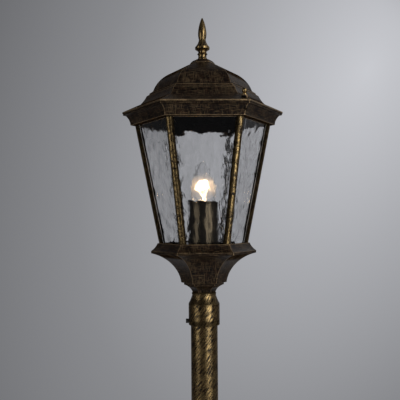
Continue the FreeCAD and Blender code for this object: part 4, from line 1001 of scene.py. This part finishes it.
SLOT_MATERIALS = {
    "casting": base_paint,
    "post_paint": base_paint,
    "pane_glass": pane_glass,
    "lamp_glass": painted_glow_stem(),
    "dark_screw": dark_steel,
    "sleeve_bronze": bronze,
    "zinc_steel": zinc,
    "brass": brass,
    "ceramic": ceramic,
    "insulator": insulator,
    "filament": zinc,
}
for part in frame["record"]["subparts"]:
    item = frame["nodes"][part["node"]]
    item.data.materials.clear()
    item.data.materials.append(SLOT_MATERIALS[part["material_slot"]])

# Stage, light and camera

FLOOR_RADIUS = 1.15
FLOOR_SEGMENTS = 96
FLOOR_COLOURS = (0.50, 0.50, 0.515, 1), (0.56, 0.56, 0.575, 1)
FLOOR_ROUGHNESS = 0.8
MOTTLE_SCALE = 30.0
# The camera, in the photograph's pixels and in metres from the post's axis and the ground.
PHOTO_SIZE = 400
FOCAL_PIXELS = 620
HORIZON_PIXEL = 217
CAMERA_DISTANCE = 0.930
CAMERA_HEIGHT = 0.7013
CAMERA_ASIDE = -0.00525
CAMERA_TURN = math.radians(1.5)
CAMERA_ROLL = math.radians(-0.4)
SENSOR = 36.0
# The softboxes' distance from the lantern, and the filament's light, which lies a little over the filament.
LAMP_DISTANCE = 1.6
BULB_POWER = 0.05
BULB_COLOUR = (1.0, 0.66, 0.36)
BULB_RADIUS = 6.5 * MM
BULB_RAISE = 2 * MM
# The light patch on the backdrop: its centre and stretch as seen from the camera, and how it fades.
GLOW_RIGHT, GLOW_UP = 0.274, 0.2365
GLOW_TILT = -0.48
GLOW_SQUASH = 0.61
GLOW_STEP = 0.2
GLOW_LEVELS = (0.587, 0.405, 0.250, 0.152, 0.090)
BACKDROP_TINT = (0.985, 1.0, 1.06)
# Every direction counts as at least this far ahead, so that none is divided by nothing.
LEAST_AHEAD = 0.3
# Where the backdrop gives way to what is round it, as seen straight on and as metal throws it back.
BACKDROP_EDGE = (0.84, 0.91)
MIRRORED_EDGE = (0.70, 0.88)
SURROUND = (0.25, 0.253, 0.263, 1)
# The room that metal throws back is lightest to the right and above, and keeps a share of that light below.
MIRRORED_DARK = (0.04, 0.04, 0.042, 1)
MIRRORED_LIGHT = (0.40, 0.40, 0.41, 1)
MIRRORED_RIGHT = (-0.2, 0.95)
MIRRORED_UP = (-0.1, 0.5)
MIRRORED_BELOW = 0.15
# The even light on all pieces.
FILL = (0.32, 0.32, 0.33, 1)


def floor():
    mesh = bpy.data.meshes.new("floor")
    disc = bmesh.new()
    bmesh.ops.create_circle(disc, cap_ends=True, segments=FLOOR_SEGMENTS, radius=FLOOR_RADIUS)
    disc.to_mesh(mesh)
    disc.free()
    item = link(bpy.data.objects.new("floor", mesh))
    material, tree, shader = new_material("floor_paper")
    mottle = noise_of(tree, object_place(tree), MOTTLE_SCALE, detail=4.0)
    tree.links.new(colour_mix(tree, mottle, *FLOOR_COLOURS), shader.inputs["Base Color"])
    shader.inputs["Roughness"].default_value = FLOOR_ROUGHNESS
    mesh.materials.append(material)


def softbox(name, azimuth, elevation, size, power):
    """A large lamp that faces the middle of the lantern and isn't seen through its panes."""
    light = bpy.data.lights.new(name, "AREA")
    light.shape = "RECTANGLE"
    light.size, light.size_y = size
    light.energy = power
    item = link(bpy.data.objects.new(name, light))
    back = Vector((math.sin(azimuth) * math.cos(elevation), -math.cos(azimuth) * math.cos(elevation),
                   math.sin(elevation)))
    item.location = Vector((0, 0, CAMERA_HEIGHT)) + back * LAMP_DISTANCE
    item.rotation_euler = (-back).to_track_quat("-Z", "Y").to_euler()
    item.visible_transmission = False


def bulb_light():
    """The filament's warm light on the pieces round it."""
    light = bpy.data.lights.new("bulb_light", "POINT")
    light.energy = BULB_POWER
    light.color = BULB_COLOUR
    light.shadow_soft_size = BULB_RADIUS
    item = link(bpy.data.objects.new("bulb_light", light))
    item.location = (0, 0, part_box("lamp_filament")[1].z + BULB_RAISE)
    item.visible_camera = False
    item.visible_glossy = False


def backdrop(tree, way):
    """Grey that is lightest at the upper right of the picture."""
    ahead = math_of(tree, "MAXIMUM", way.outputs["Y"], LEAST_AHEAD)
    aside = math_of(tree, "DIVIDE", way.outputs["X"], ahead)
    above = math_of(tree, "DIVIDE", way.outputs["Z"], ahead)
    inputs = {"Vector": add(tree, "ShaderNodeCombineXYZ", {0: aside, 1: above}).outputs[0],
              "Location": (math.tan(CAMERA_TURN) + GLOW_RIGHT, GLOW_UP, 0),
              "Rotation": (0, 0, GLOW_TILT), "Scale": (1, 1 / GLOW_SQUASH, 1)}
    spread = add(tree, "ShaderNodeMapping", inputs, vector_type="TEXTURE").outputs[0]
    away = add(tree, "ShaderNodeVectorMath", {0: spread}, operation="LENGTH").outputs["Value"]
    ramp = add(tree, "ShaderNodeValToRGB", {0: away})
    stops = ramp.color_ramp.elements
    stops[1].position = GLOW_STEP * (len(GLOW_LEVELS) - 1)
    for number in range(1, len(GLOW_LEVELS) - 1):
        stops.new(GLOW_STEP * number)
    for stop, level in zip(stops, GLOW_LEVELS):
        stop.color = (*(level * tint for tint in BACKDROP_TINT), 1)
    return ramp.outputs["Color"]


def studio():
    """The backdrop, plain grey round it, a darker room for what metal throws back, and an even dim fill."""
    world = bpy.data.worlds.new("studio")
    world.use_nodes = True
    tree = world.node_tree
    bpy.context.scene.world = world
    way = add(tree, "ShaderNodeSeparateXYZ", {0: add(tree, "ShaderNodeTexCoord").outputs["Generated"]})
    picture = backdrop(tree, way)
    behind = step_of(tree, way.outputs["Y"], *BACKDROP_EDGE)
    grey = colour_mix(tree, behind, SURROUND, picture)
    rightward = step_of(tree, way.outputs["X"], *MIRRORED_RIGHT)
    upward = step_of(tree, way.outputs["Z"], *MIRRORED_UP, MIRRORED_BELOW, 1.0)
    room = colour_mix(tree, math_of(tree, "MULTIPLY", rightward, upward), MIRRORED_DARK, MIRRORED_LIGHT)
    dim = colour_mix(tree, step_of(tree, way.outputs["Y"], *MIRRORED_EDGE), room, picture)
    rays = add(tree, "ShaderNodeLightPath")
    shown = colour_mix(tree, mirrored(tree, rays), grey, dim)
    direct = math_of(tree, "MAXIMUM", rays.outputs["Is Camera Ray"], rays.outputs["Is Glossy Ray"])
    seen = math_of(tree, "MAXIMUM", direct, rays.outputs["Is Transmission Ray"])
    background = tree.nodes["Background"]
    tree.links.new(colour_mix(tree, seen, FILL, shown), background.inputs["Color"])
    background.inputs["Strength"].default_value = 1.0


def camera():
    data = bpy.data.cameras.new("camera")
    data.sensor_width = SENSOR
    data.lens = SENSOR * FOCAL_PIXELS / PHOTO_SIZE
    data.shift_y = (HORIZON_PIXEL - PHOTO_SIZE / 2) / PHOTO_SIZE
    item = link(bpy.data.objects.new("camera", data))
    turn = Matrix.Rotation(-CAMERA_TURN, 4, "Z")
    place = Matrix.Translation((CAMERA_ASIDE, -CAMERA_DISTANCE, CAMERA_HEIGHT))
    level = Matrix.Rotation(math.pi / 2, 4, "X")
    item.matrix_world = turn @ place @ level @ Matrix.Rotation(CAMERA_ROLL, 4, "Z")
    bpy.context.scene.camera = item


floor()
studio()
softbox("right_softbox", azimuth=math.radians(38), elevation=math.radians(8), size=(1.2, 1.7), power=15.5)
softbox("left_softbox", azimuth=math.radians(-57), elevation=math.radians(6), size=(0.9, 1.6), power=4.6)
bulb_light()
camera()
bpy.context.scene.view_settings.view_transform = "Standard"
